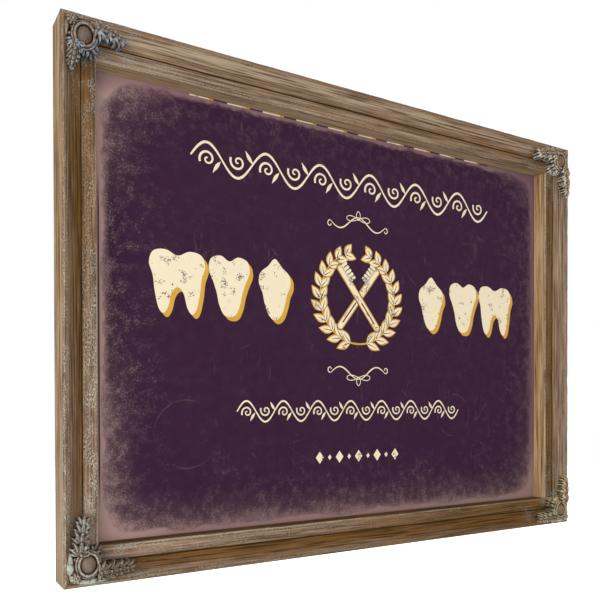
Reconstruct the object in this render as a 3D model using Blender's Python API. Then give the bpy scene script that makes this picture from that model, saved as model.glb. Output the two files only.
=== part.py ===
"""Framed trade sign: a printed board in a mitred wooden frame with cast corner ornaments.

X runs to the right, Y into the wall and Z up. The wall is the plane Y = 0, and the origin lies midway
between the points where the two hanging rings bear on their wall hooks. Lengths are in metres.
"""

import math

import bmesh
import bpy
from mathutils import Matrix, Vector

# Whole sign
SIGN_WIDTH = 0.660
SIGN_HEIGHT = 0.502
RAIL_DEPTH = 0.0355
STAND_OFF = 0.0063

# Clearances
SEAT_GAP = 0.0003
MITRE_GAP = 0.0003
BOARD_PLAY = 0.0008

# Moulding profile: across from the outer edge, and down from the front
RAIL_WIDTH = 0.033
LIP_RADIUS = 0.0022
SCOOP_WIDTH = 0.0183
SCOOP_DEPTH = 0.0107
SCOOP_SAG = 0.0009
GROOVE_WIDTH = 0.0012
GROOVE_DEPTH = 0.0009
LINER_DEPTH = 0.0111
SIGHT_RADIUS = 0.0015
REBATE_WIDTH = 0.0070
REBATE_DEPTH = 0.0060
BACK_EASE = 0.0008

# Boards in the rebate
PANEL_THICKNESS = 0.0030
BACKING_THICKNESS = 0.0022

# Corner ornaments: heights are above the front of the lip
LEG_LENGTH = 0.062
LEG_ROOT = 0.0265
LEG_ACROSS = 0.0106
LEG_CREST = 0.0084
LEG_TIP_CREST = 0.0052
INNER_SIDE_DROP = 0.0030
FANS_PER_LEG = 3
FAN_OVERLAP = 0.0045
FAN_SPREAD = math.radians(56)
FAN_LEAVES = 5
FAN_SHRINK = 0.15
SHORT_LEAF = 0.60
LEAF_RISE = 0.0030
LEAF_DRAFT = 1.12
LEAF_BELLY = 0.62
LEAF_NOTCH = 0.44
LEAF_FILL = 0.94
ROOT_MARGIN = 0.0020
CABOCHON_HALF_WIDTH = 0.0068
CABOCHON_HALF_HEIGHT = 0.0082
CABOCHON_HEIGHT = 0.0066
CABOCHON_BASE = 0.0020
BEZEL_GAP = 0.0004
BEZEL_WIDTH = 0.0024
BEZEL_HEIGHT = 0.0042
COLLAR_LEAVES = 10
COLLAR_RADIUS = 0.0150
COLLAR_HEIGHT = 0.0020
ROSETTE_PETALS = 6
ROSETTE_CENTRE = 0.0076
ROSETTE_RADIUS = 0.0052
ROSETTE_HEIGHT = 0.0030
ROSETTE_BUTTON = 0.0017
INNER_LEAF_LENGTH = 0.0130
INNER_LEAF_DEPTH = 0.0030
INNER_LEAF_MARGIN = 0.0050
ORNAMENT_SEAT_GAP = 0.0004

# Where the hand-set ornaments differ: shift inward across each rail, and turn
ORNAMENT_DRIFT = 0.0022
ORNAMENT_SLIP = 0.0004
ORNAMENT_RISE = 0.0020
ORNAMENT_TURN = math.radians(3.5)
ORNAMENT_SHIFTS = {
    "top_left": (ORNAMENT_DRIFT, ORNAMENT_SLIP, ORNAMENT_TURN),
    "top_right": (ORNAMENT_DRIFT, ORNAMENT_SLIP, -ORNAMENT_TURN),
    "bottom_left": (ORNAMENT_DRIFT, ORNAMENT_RISE, 0.0),
    "bottom_right": (ORNAMENT_SLIP, ORNAMENT_SLIP, 0.0),
}

# Turn buttons
BUTTON_REACH = 0.0155
BUTTON_HEAD_RADIUS = 0.0046
BUTTON_TIP_RADIUS = 0.0032
BUTTON_THICKNESS = 0.0012
BUTTON_INSET = 0.0065
BUTTON_SPACING = 0.300

# Screws
BUTTON_SCREW_RADIUS = 0.0016
BUTTON_SCREW_LENGTH = 0.0110
BUTTON_SCREW_HEAD = 0.0034
HANGER_SCREW_RADIUS = 0.0018
HANGER_SCREW_LENGTH = 0.0130
HANGER_SCREW_HEAD = 0.0036
SCREW_HEAD_HEIGHT = 0.0018
SCREW_POINT = 1.5

# Strap hangers
HANGER_DROP = 0.125
STRAP_WIDTH = 0.0100
STRAP_LENGTH = 0.0400
STRAP_THICKNESS = 0.0010
STRAP_END_ROUNDING = 0.45
STRAP_SCREW_DROPS = {"upper": 0.0085, "lower": 0.0330}
RING_WIRE_RADIUS = 0.0012
RING_HALF_WIDTH = 0.0090
RING_SIDE = 0.0050
RING_CORNER = 0.0024
EYE_WRAP = math.radians(285)

# V nails
VNAIL_LEG = 0.0050
VNAIL_WALL = 0.0005
VNAIL_DEPTH = 0.0100
VNAIL_PLACES = {"outer": 0.0090, "inner": 0.0185}

# Bumpers
BUMPER_RADIUS = 0.0060
BUMPER_INSET = 0.045
BUMPER_TAPER = 0.85

# Facets on round work
SMALL_SEGMENTS = 12
WIRE_STEPS = 5
EYE_STEPS = 16

# Places that follow from the sizes
BACK_Y = -STAND_OFF
FRONT_Y = BACK_Y - RAIL_DEPTH
EYE_INNER = RING_WIRE_RADIUS + SEAT_GAP
EYE_OUTER = EYE_INNER + STRAP_THICKNESS
RING_AXIS_OFF = SEAT_GAP + EYE_OUTER
RING_REACH = RING_SIDE + RING_HALF_WIDTH + RING_WIRE_RADIUS
RING_LEAN = math.asin((RING_AXIS_OFF - RING_WIRE_RADIUS - SEAT_GAP) / RING_REACH)
RING_BEARING = (RING_REACH - RING_WIRE_RADIUS) * math.cos(RING_LEAN)
TOP_Z = HANGER_DROP - RING_BEARING
BOTTOM_Z = TOP_Z - SIGN_HEIGHT
MIDDLE_Z = (TOP_Z + BOTTOM_Z) / 2
HALF_WIDTH = SIGN_WIDTH / 2
HALF_HEIGHT = SIGN_HEIGHT / 2
ORNAMENT_ROOT_DEPTH = max(SCOOP_DEPTH, LINER_DEPTH) + ROOT_MARGIN
BACK_WIDTH = RAIL_WIDTH - REBATE_WIDTH
HANGER_X = HALF_WIDTH - BACK_WIDTH / 2
RING_AXIS_Z = -RING_BEARING
SIDES = (("left", -1), ("right", 1))
CORNERS = {
    "top_left": (-1, 1),
    "top_right": (1, 1),
    "bottom_left": (-1, -1),
    "bottom_right": (1, -1),
}


def clear_scene():
    for item in list(bpy.data.objects):
        bpy.data.objects.remove(item)


def material(name, colour, roughness, metallic=0.0):
    """A plain Principled finish, made once for each name."""
    found = bpy.data.materials.get(name)
    if found:
        return found
    made = bpy.data.materials.new(name)
    made.use_nodes = True
    shader = made.node_tree.nodes["Principled BSDF"]
    shader.inputs["Base Color"].default_value = (*colour, 1.0)
    shader.inputs["Roughness"].default_value = roughness
    shader.inputs["Metallic"].default_value = metallic
    return made


def weathered_wood():
    return material("weathered_wood", (0.235, 0.160, 0.098), 0.75)


def patinated_casting():
    return material("patinated_casting", (0.190, 0.170, 0.140), 0.6)


def printed_board():
    return material("printed_board", (0.048, 0.017, 0.038), 0.6)


def hardboard():
    return material("hardboard", (0.180, 0.095, 0.045), 0.8)


def zinc_steel():
    return material("zinc_steel", (0.560, 0.560, 0.540), 0.35, 1.0)


def blued_steel():
    return material("blued_steel", (0.300, 0.300, 0.310), 0.4, 1.0)


def black_rubber():
    return material("black_rubber", (0.020, 0.020, 0.020), 0.85)


def add_object(name, bm, finish=None, location=(0, 0, 0), rotation=(0, 0, 0), smooth=True):
    """Turns a bmesh into a named object and shades its gentle curves smooth."""
    bmesh.ops.recalc_face_normals(bm, faces=bm.faces)
    mesh = bpy.data.meshes.new(name)
    bm.to_mesh(mesh)
    bm.free()
    item = bpy.data.objects.new(name, mesh)
    bpy.context.scene.collection.objects.link(item)
    item.location = location
    item.rotation_euler = rotation
    if finish:
        mesh.materials.append(finish)
    if smooth:
        mesh.shade_smooth()
        mesh.set_sharp_from_angle(angle=math.radians(35))
    return item


def hide_cutter(item):
    item.hide_render = True
    item.display_type = "WIRE"
    return item


def subtract(item, cutter, name, use_self=False):
    cut = item.modifiers.new(name, "BOOLEAN")
    cut.operation = "DIFFERENCE"
    cut.solver = "EXACT"
    cut.use_self = use_self
    cut.object = cutter


def arc(centre, radius, start, end, steps):
    """Points on a circle about centre, from one angle in degrees to the other."""
    angles = [math.radians(start + (end - start) * i / steps) for i in range(steps + 1)]
    return [(centre[0] + radius * math.cos(a), centre[1] + radius * math.sin(a)) for a in angles]


def scoop(steps):
    """The hollow outer band, from the lip's crest to the groove, slightly dished."""
    start = Vector((LIP_RADIUS, 0.0))
    end = Vector((SCOOP_WIDTH, SCOOP_DEPTH))
    down = Vector((start.y - end.y, end.x - start.x)).normalized()
    points = []
    for i in range(1, steps + 1):
        t = i / steps
        points.append(tuple(start.lerp(end, t) + down * (4 * SCOOP_SAG * t * (1 - t))))
    return points


def moulding_front():
    """The show side of the moulding without its groove, from outer edge to sight edge."""
    lip = arc((LIP_RADIUS, LIP_RADIUS), LIP_RADIUS, 180, 270, 3)
    sight_centre = (RAIL_WIDTH - SIGHT_RADIUS, LINER_DEPTH + SIGHT_RADIUS)
    sight = arc(sight_centre, SIGHT_RADIUS, 270, 360, 3)
    groove_end = (SCOOP_WIDTH + GROOVE_WIDTH, LINER_DEPTH)
    return lip + scoop(6) + [groove_end] + sight


def moulding_profile():
    """The whole closed profile as (across, down) points."""
    front = moulding_front()
    groove_at = front.index((SCOOP_WIDTH + GROOVE_WIDTH, LINER_DEPTH))
    floor = SCOOP_DEPTH + GROOVE_DEPTH
    groove = [(SCOOP_WIDTH, floor), (SCOOP_WIDTH + GROOVE_WIDTH, floor)]
    shoulder = RAIL_DEPTH - REBATE_DEPTH
    rear = [
        (RAIL_WIDTH, shoulder),
        (BACK_WIDTH, shoulder),
        (BACK_WIDTH, RAIL_DEPTH),
        (BACK_EASE, RAIL_DEPTH),
        (0.0, RAIL_DEPTH - BACK_EASE),
    ]
    return front[:groove_at] + groove + front[groove_at:] + rear


def rail(name, length, location, turn, cutter):
    """One mitred rail, modelled with its outer edge down and turned to its side of the frame."""
    bm = bmesh.new()
    recess = MITRE_GAP / math.sqrt(2)
    reach = length / 2 - recess
    ring = [bm.verts.new((across - reach, down, across)) for across, down in moulding_profile()]
    end = bm.faces.new(ring)
    extruded = bmesh.ops.extrude_face_region(bm, geom=[end])["geom"]
    for vert in extruded:
        if isinstance(vert, bmesh.types.BMVert):
            vert.co.x = reach - vert.co.z
    item = add_object(name, bm, weathered_wood(), location, (0, turn, 0))
    subtract(item, cutter, "fastener_holes")
    return item


def seat_cutter():
    """The frame's front swept all round, raised by the ornaments' seat gap, to trim their undersides."""
    front = moulding_front()
    rear = [(RAIL_WIDTH, RAIL_DEPTH), (0.0, RAIL_DEPTH)]
    profile = [(across, down - ORNAMENT_SEAT_GAP) for across, down in front] + rear
    bm = bmesh.new()
    rings = []
    for side_x, side_z in ((-1, -1), (1, -1), (1, 1), (-1, 1)):
        ring = []
        for across, down in profile:
            x = side_x * (HALF_WIDTH - across)
            z = MIDDLE_Z + side_z * (HALF_HEIGHT - across)
            ring.append(bm.verts.new((x, FRONT_Y + down, z)))
        rings.append(ring)
    count = len(profile)
    for i, ring in enumerate(rings):
        following = rings[(i + 1) % len(rings)]
        for j in range(count):
            k = (j + 1) % count
            bm.faces.new((ring[j], ring[k], following[k], following[j]))
    return hide_cutter(add_object("seat_cutter", bm, smooth=False))


def leaf_outline(root, heading, length, step):
    """One leaf of a palmette as flat points: left shoulder, tip, right shoulder and ridge."""
    belly = LEAF_BELLY * length
    half = LEAF_FILL * belly * math.tan(step / 2)
    along = Vector((math.cos(heading), math.sin(heading)))
    across = Vector((-along.y, along.x))
    middle = Vector(root) + along * belly
    return middle - across * half, Vector(root) + along * length, middle + across * half, middle


def add_palmette(bm, root, heading, length, leaves, crest, spread=None, side_drop=0.0):
    """A carved fan, or a full star if it has no spread, of pointed leaves with ridged middles.

    Its leaves stand crest in front of the lip, less side_drop by the last one. Its sides spread a
    little as they reach back into the moulding, where the seat trims them.
    """
    star = spread is None
    step = 2 * math.pi / leaves if star else 2 * spread / (leaves - 1)
    first = heading if star else heading - spread
    sides = [0.0 if star else 2 * i / (leaves - 1) - 1 for i in range(leaves)]
    reaches = [length * (1 - (1 - SHORT_LEAF) * abs(side)) for side in sides]
    levels = [crest - side_drop * (side + 1) / 2 for side in sides]

    def corner(flat, level):
        return bm.verts.new((flat[0], -level, flat[1]))

    def notch(angle, radius, level):
        flat = (root[0] + radius * math.cos(angle), root[1] + radius * math.sin(angle))
        return corner(flat, level - LEAF_RISE)

    def notch_after(i):
        radius = LEAF_NOTCH * (reaches[i] + reaches[(i + 1) % leaves]) / 2
        return notch(first + step * (i + 0.5), radius, levels[i])

    hub = corner(root, crest - LEAF_RISE / 2)
    edge, faces = [], []
    if star:
        start = notch_after(-1)
    else:
        edge.append(notch(heading + math.pi, LEAF_NOTCH * length / 2, levels[0]))
        start = notch(first - step / 2, LEAF_NOTCH * reaches[0], levels[0])
    edge.append(start)
    for i in range(leaves):
        left, tip, right, ridge = leaf_outline(root, first + step * i, reaches[i], step)
        rim = [corner(flat, levels[i] - LEAF_RISE) for flat in (left, tip, right)]
        middle = corner(ridge, levels[i])
        near = edge[-1]
        closing = i == leaves - 1
        if closing and star:
            far = start
        elif closing:
            far = notch(first + step * (i + 0.5), LEAF_NOTCH * reaches[i], levels[i])
        else:
            far = notch_after(i)
        chain = [near] + rim + [far]
        faces += [(middle, b, a) for a, b in zip(chain, chain[1:])]
        faces += [(hub, middle, near), (hub, far, middle)]
        edge += rim if far is start else rim + [far]
    if not star:
        faces += [(hub, edge[1], edge[0]), (hub, edge[0], edge[-1])]
    floor = []
    for vert in edge:
        x = root[0] + (vert.co.x - root[0]) * LEAF_DRAFT
        z = root[1] + (vert.co.z - root[1]) * LEAF_DRAFT
        floor.append(bm.verts.new((x, ORNAMENT_ROOT_DEPTH, z)))
    count = len(edge)
    faces += [(edge[i], edge[(i + 1) % count], floor[(i + 1) % count], floor[i]) for i in range(count)]
    for face in faces + [tuple(floor)]:
        bm.faces.new(face)


def add_dome(bm, centre, half_sizes, crest, base, segments=8, rings=3):
    """An oval boss, straight-sided below its base depth, whose crown stands crest in front of the lip."""
    angles = [math.pi / 2 * i / rings for i in range(rings + 1)]
    profile = [(math.sin(a), base - (crest + base) * math.cos(a)) for a in angles]
    profile += [(1.0, ORNAMENT_ROOT_DEPTH), (0.0, ORNAMENT_ROOT_DEPTH)]
    stock = bmesh.new()
    verts = [stock.verts.new((out, y, 0)) for out, y in profile]
    edges = [stock.edges.new(pair) for pair in zip(verts, verts[1:])]
    bmesh.ops.spin(
        stock,
        geom=verts + edges,
        cent=(0, 0, 0),
        axis=(0, 1, 0),
        angle=2 * math.pi,
        steps=segments,
        use_merge=True,
    )
    bmesh.ops.remove_doubles(stock, verts=stock.verts, dist=1e-6)
    bmesh.ops.scale(stock, vec=(half_sizes[0], 1, half_sizes[1]), verts=stock.verts)
    bmesh.ops.translate(stock, vec=(centre[0], 0, centre[1]), verts=stock.verts)
    add_stock(bm, stock)


def add_stock(bm, stock):
    """Adds one bmesh's shapes to another and frees it."""
    mesh = bpy.data.meshes.new("stock")
    stock.to_mesh(mesh)
    stock.free()
    bm.from_mesh(mesh)
    bpy.data.meshes.remove(mesh)


def add_oval_wall(bm, centre, half_sizes, wall, crest, segments=20):
    """A raised oval ring with a rounded top, standing round the cabochon."""
    section = [
        (-wall / 2, ORNAMENT_ROOT_DEPTH),
        (-wall / 2, -crest + wall / 3),
        (-wall / 5, -crest),
        (wall / 5, -crest),
        (wall / 2, -crest + wall / 3),
        (wall / 2, ORNAMENT_ROOT_DEPTH),
    ]
    rings = []
    for i in range(segments):
        angle = 2 * math.pi * i / segments
        ring = []
        for out, y in section:
            x = centre[0] + (half_sizes[0] + out) * math.cos(angle)
            z = centre[1] + (half_sizes[1] + out) * math.sin(angle)
            ring.append(bm.verts.new((x, y, z)))
        rings.append(ring)
    for i, ring in enumerate(rings):
        following = rings[(i + 1) % segments]
        for j in range(len(section)):
            k = (j + 1) % len(section)
            bm.faces.new((ring[j], following[j], following[k], ring[k]))


def add_leg(bm, upright):
    """Overlapping palmettes along one rail, each smaller and lower than the one before."""
    spans = [1 / (1 + FAN_SHRINK * i) for i in range(FANS_PER_LEG)]
    reach = LEG_LENGTH - LEG_ROOT + FAN_OVERLAP * (FANS_PER_LEG - 1)
    along = LEG_ROOT
    for i, share in enumerate(spans):
        length = reach * share / sum(spans)
        crest = LEG_CREST + (LEG_TIP_CREST - LEG_CREST) * i / max(FANS_PER_LEG - 1, 1)
        root = (LEG_ACROSS, along) if upright else (along, LEG_ACROSS)
        heading = math.pi / 2 if upright else 0.0
        spread = -FAN_SPREAD if upright else FAN_SPREAD
        add_palmette(bm, root, heading, length, FAN_LEAVES, crest, spread, INNER_SIDE_DROP)
        along += length - FAN_OVERLAP


def ornament_stock():
    """The overlapping closed shapes of one casting, for the corner whose rails run along +X and +Z."""
    bm = bmesh.new()
    centre = (SCOOP_WIDTH, SCOOP_WIDTH)
    inner = (CABOCHON_HALF_WIDTH, CABOCHON_HALF_HEIGHT)
    add_dome(bm, centre, inner, CABOCHON_HEIGHT, CABOCHON_BASE, segments=14, rings=5)
    middle = [half + BEZEL_GAP + BEZEL_WIDTH / 2 for half in inner]
    add_oval_wall(bm, centre, middle, BEZEL_WIDTH, BEZEL_HEIGHT)
    diagonal = math.radians(45)
    add_palmette(bm, centre, diagonal, COLLAR_RADIUS, COLLAR_LEAVES, COLLAR_HEIGHT)
    rosette = (ROSETTE_CENTRE, ROSETTE_CENTRE)
    add_palmette(bm, rosette, diagonal, ROSETTE_RADIUS, ROSETTE_PETALS, ROSETTE_HEIGHT)
    button = (ROSETTE_BUTTON, ROSETTE_BUTTON)
    add_dome(bm, rosette, button, ROSETTE_HEIGHT + ROSETTE_BUTTON / 2, CABOCHON_BASE)
    add_leg(bm, upright=False)
    add_leg(bm, upright=True)
    root = RAIL_WIDTH - INNER_LEAF_MARGIN - INNER_LEAF_LENGTH * math.sqrt(0.5)
    spread = FAN_SPREAD / 2
    add_palmette(bm, (root, root), diagonal, INNER_LEAF_LENGTH, 3, -INNER_LEAF_DEPTH, spread)
    return bm


def corner_ornament(corner, cutter):
    """A casting mirrored to its corner, turned and shifted as it was set, and trimmed to its seat."""
    shift_x, shift_z, turn = ORNAMENT_SHIFTS[corner]
    side_x, side_z = CORNERS[corner]
    bm = ornament_stock()
    bmesh.ops.recalc_face_normals(bm, faces=bm.faces)
    flip = Matrix.Diagonal((-side_x, 1, -side_z, 1))
    shift = Matrix.Translation((-side_x * shift_x, 0, -side_z * shift_z))
    spin = Matrix.Rotation(turn, 4, "Y")
    bmesh.ops.transform(bm, matrix=shift @ spin @ flip, verts=bm.verts)
    location = (side_x * HALF_WIDTH, FRONT_Y, MIDDLE_Z + side_z * HALF_HEIGHT)
    item = add_object("corner_ornament_" + corner, bm, patinated_casting(), location)
    subtract(item, cutter, "seat", use_self=True)
    return item


def board(name, front, thickness, finish):
    """A flat board that fills the rebate with a little play."""
    bm = bmesh.new()
    bmesh.ops.create_cube(bm, size=1.0)
    width = SIGN_WIDTH - 2 * (BACK_WIDTH + BOARD_PLAY)
    height = SIGN_HEIGHT - 2 * (BACK_WIDTH + BOARD_PLAY)
    bmesh.ops.scale(bm, vec=(width, thickness, height), verts=bm.verts)
    return add_object(name, bm, finish, (0, front + thickness / 2, MIDDLE_Z), smooth=False)


def button_places():
    """(name, x, z, heading) of each turn button: heading is the angle from +X towards +Z of its tip."""
    inset = BACK_WIDTH - BUTTON_INSET
    left, right = -HALF_WIDTH + inset, HALF_WIDTH - inset
    bottom, top = BOTTOM_Z + inset, TOP_Z - inset
    half = BUTTON_SPACING / 2
    return [
        ("top_left", -half, top, 270),
        ("top_right", half, top, 270),
        ("bottom_left", -half, bottom, 90),
        ("bottom_right", half, bottom, 90),
        ("left", left, MIDDLE_Z, 0),
        ("right", right, MIDDLE_Z, 180),
    ]


def turn_button(name, x, z, heading, hole):
    """A flat steel button, round at its screw and narrower at its tip, lying on the rail's back."""
    bm = bmesh.new()
    lean = math.degrees(math.asin((BUTTON_HEAD_RADIUS - BUTTON_TIP_RADIUS) / BUTTON_REACH))
    tip_centre = (BUTTON_REACH - BUTTON_TIP_RADIUS, 0)
    outline = arc((0, 0), BUTTON_HEAD_RADIUS, 90 - lean, 270 + lean, 10)
    outline += arc(tip_centre, BUTTON_TIP_RADIUS, -90 + lean, 90 - lean, 6)
    face = bm.faces.new([bm.verts.new((x_, 0, z_)) for x_, z_ in outline])
    extruded = bmesh.ops.extrude_face_region(bm, geom=[face])["geom"]
    verts = [v for v in extruded if isinstance(v, bmesh.types.BMVert)]
    bmesh.ops.translate(bm, vec=(0, BUTTON_THICKNESS, 0), verts=verts)
    location = (x, BACK_Y + SEAT_GAP, z)
    turn = (0, -math.radians(heading), 0)
    item = add_object("turn_button_" + name, bm, zinc_steel(), location, turn)
    subtract(item, hole, "screw_hole")
    return item


def add_cylinder(bm, x, z, y_from, y_to, radius, segments=SMALL_SEGMENTS):
    made = bmesh.ops.create_cone(
        bm, cap_ends=True, segments=segments, radius1=radius, radius2=radius, depth=y_to - y_from
    )["verts"]
    bmesh.ops.rotate(bm, verts=made, cent=(0, 0, 0), matrix=Matrix.Rotation(math.pi / 2, 3, "X"))
    bmesh.ops.translate(bm, vec=(x, (y_from + y_to) / 2, z), verts=made)
    return made


def pan_screw(name, x, z, underside, radius, head_radius, length):
    """A pan-head screw turned about its axis: pointed shank into the wood, domed head outside."""
    crown = [(1.0, 0.0), (1.0, 0.5), (0.8, 0.85), (0.4, 1.0), (0.0, 1.0)]
    profile = [(0.0, -length), (radius, -length + SCREW_POINT * radius), (radius, 0.0)]
    profile += [(out * head_radius, up * SCREW_HEAD_HEIGHT) for out, up in crown]
    bm = bmesh.new()
    verts = [bm.verts.new((out, up, 0)) for out, up in profile]
    edges = [bm.edges.new(pair) for pair in zip(verts, verts[1:])]
    bmesh.ops.spin(
        bm,
        geom=verts + edges,
        cent=(0, 0, 0),
        axis=(0, 1, 0),
        angle=2 * math.pi,
        steps=SMALL_SEGMENTS,
        use_merge=True,
    )
    bmesh.ops.remove_doubles(bm, verts=bm.verts, dist=1e-6)
    return add_object(name, bm, zinc_steel(), (x, underside, z))


def turn_button_screw(name, x, z):
    underside = BACK_Y + SEAT_GAP + BUTTON_THICKNESS + SEAT_GAP
    sizes = (BUTTON_SCREW_RADIUS, BUTTON_SCREW_HEAD, BUTTON_SCREW_LENGTH)
    return pan_screw("turn_button_screw_" + name, x, z, underside, *sizes)


def hanger_screw_places():
    """(name, x, z) of each strap screw."""
    return [
        (side_name + "_" + level, side * HANGER_X, RING_AXIS_Z - drop)
        for side_name, side in SIDES
        for level, drop in STRAP_SCREW_DROPS.items()
    ]


def hanger_screw(name, x, z):
    underside = BACK_Y + SEAT_GAP + STRAP_THICKNESS + SEAT_GAP
    sizes = (HANGER_SCREW_RADIUS, HANGER_SCREW_HEAD, HANGER_SCREW_LENGTH)
    return pan_screw("hanger_screw_" + name, x, z, underside, *sizes)


def add_vnail(bm, side_x, side_z, place, margin, y_from, y_to):
    """One V nail, or its slot grown by margin: its point on the mitre and a leg in each rail."""
    near = place - VNAIL_WALL / 2 - margin
    far = place + VNAIL_WALL / 2 + margin
    end = place + VNAIL_LEG + margin
    outline = [(near, near), (end, near), (end, far), (far, far), (far, end), (near, end)]
    verts = []
    for inward_x, inward_z in outline:
        x = side_x * (HALF_WIDTH - inward_x)
        z = MIDDLE_Z + side_z * (HALF_HEIGHT - inward_z)
        verts.append(bm.verts.new((x, y_from, z)))
    face = bm.faces.new(verts)
    extruded = bmesh.ops.extrude_face_region(bm, geom=[face])["geom"]
    moved = [v for v in extruded if isinstance(v, bmesh.types.BMVert)]
    bmesh.ops.translate(bm, vec=(0, y_to - y_from, 0), verts=moved)


def mitre_nails(corner):
    side_x, side_z = CORNERS[corner]
    for level, place in VNAIL_PLACES.items():
        bm = bmesh.new()
        add_vnail(bm, side_x, side_z, place, 0.0, BACK_Y - VNAIL_DEPTH, BACK_Y)
        add_object("mitre_nail_" + corner + "_" + level, bm, zinc_steel(), smooth=False)


def fastener_cutter():
    """Pilot holes for every screw and slots for every V nail, each clear of its fastener."""
    bm = bmesh.new()
    past = BACK_Y + SEAT_GAP
    for _, x, z, _ in button_places():
        add_cylinder(bm, x, z, BACK_Y - BUTTON_SCREW_LENGTH, past, BUTTON_SCREW_RADIUS + SEAT_GAP)
    for _, x, z in hanger_screw_places():
        add_cylinder(bm, x, z, BACK_Y - HANGER_SCREW_LENGTH, past, HANGER_SCREW_RADIUS + SEAT_GAP)
    floor = BACK_Y - VNAIL_DEPTH - SEAT_GAP
    for side_x, side_z in CORNERS.values():
        for place in VNAIL_PLACES.values():
            add_vnail(bm, side_x, side_z, place, SEAT_GAP, floor, past)
    return hide_cutter(add_object("fastener_cutter", bm, smooth=False))


def plate_hole_cutter():
    """Holes through the turn buttons and the hanger straps, clear of their screws."""
    bm = bmesh.new()
    clear = 2 * STRAP_THICKNESS
    for _, x, z, _ in button_places():
        add_cylinder(bm, x, z, BACK_Y, BACK_Y + clear + BUTTON_THICKNESS, BUTTON_SCREW_RADIUS + SEAT_GAP)
    for _, x, z in hanger_screw_places():
        add_cylinder(bm, x, z, BACK_Y, BACK_Y + clear, HANGER_SCREW_RADIUS + SEAT_GAP)
    return hide_cutter(add_object("plate_hole_cutter", bm, smooth=False))


def hanger_strap(name, side, holes):
    """A steel strap, flat on the rail's back, rolled at its top into an eye round the ring's bar."""
    axis = RING_AXIS_OFF
    outer = [(axis - EYE_OUTER * math.cos(a), EYE_OUTER * math.sin(a)) for a in eye_angles()]
    inner = [(axis - EYE_INNER * math.cos(a), EYE_INNER * math.sin(a)) for a in eye_angles()]
    outline = [(SEAT_GAP, -STRAP_LENGTH)] + outer + inner[::-1]
    outline.append((SEAT_GAP + STRAP_THICKNESS, -STRAP_LENGTH))
    bm = bmesh.new()
    face = bm.faces.new([bm.verts.new((-STRAP_WIDTH / 2, y, z)) for y, z in outline])
    extruded = bmesh.ops.extrude_face_region(bm, geom=[face])["geom"]
    verts = [v for v in extruded if isinstance(v, bmesh.types.BMVert)]
    bmesh.ops.translate(bm, vec=(STRAP_WIDTH, 0, 0), verts=verts)
    ends = [
        edge
        for edge in bm.edges
        if all(v.co.z < -STRAP_LENGTH + 1e-6 for v in edge.verts)
        and abs(edge.verts[0].co.x - edge.verts[1].co.x) < 1e-6
    ]
    bmesh.ops.bevel(
        bm,
        geom=ends,
        offset=STRAP_WIDTH * STRAP_END_ROUNDING,
        segments=4,
        profile=0.5,
        affect="EDGES",
        material=-1,
    )
    location = (side * HANGER_X, BACK_Y, RING_AXIS_Z)
    item = add_object("hanger_strap_" + name, bm, blued_steel(), location)
    subtract(item, holes, "screw_holes")
    return item


def eye_angles():
    return [EYE_WRAP * i / EYE_STEPS for i in range(EYE_STEPS + 1)]


def ring_path():
    """The D ring's centreline, as (x, z) from the middle of its bar."""
    half = RING_HALF_WIDTH + RING_WIRE_RADIUS
    right = arc((half - RING_CORNER, RING_CORNER), RING_CORNER, -90, 0, WIRE_STEPS)
    bow = arc((0, RING_SIDE), half, 0, 180, 3 * WIRE_STEPS)
    left = arc((-half + RING_CORNER, RING_CORNER), RING_CORNER, 180, 270, WIRE_STEPS)
    return right + bow + left


def hanger_ring(name, side):
    """A D ring of round wire whose bar turns in the strap's eye, leaning back on the rail."""
    data = bpy.data.curves.new("hanger_ring_" + name, "CURVE")
    data.dimensions = "3D"
    data.bevel_depth = RING_WIRE_RADIUS
    data.bevel_resolution = 2
    path = ring_path()
    spline = data.splines.new("POLY")
    spline.points.add(len(path) - 1)
    for point, (x, z) in zip(spline.points, path):
        point.co = (x, 0, z, 1)
    spline.use_cyclic_u = True
    spline.use_smooth = True
    data.materials.append(blued_steel())
    item = bpy.data.objects.new("hanger_ring_" + name, data)
    bpy.context.scene.collection.objects.link(item)
    item.location = (side * HANGER_X, BACK_Y + RING_AXIS_OFF, RING_AXIS_Z)
    item.rotation_euler = (RING_LEAN, 0, 0)
    return item


def bumper(name, side):
    """A soft round bumper stuck to the bottom rail's back, which bears on the wall."""
    bm = bmesh.new()
    ends = (BACK_Y + SEAT_GAP, 0.0)
    made = add_cylinder(bm, 0, 0, *ends, BUMPER_RADIUS, 16)
    rear = [v for v in made if v.co.y > BACK_Y / 2]
    bmesh.ops.scale(bm, vec=(BUMPER_TAPER, 1, BUMPER_TAPER), verts=rear)
    location = (side * (HALF_WIDTH - BUMPER_INSET), 0, BOTTOM_Z + BACK_WIDTH / 2)
    return add_object("bumper_" + name, bm, black_rubber(), location)


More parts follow.
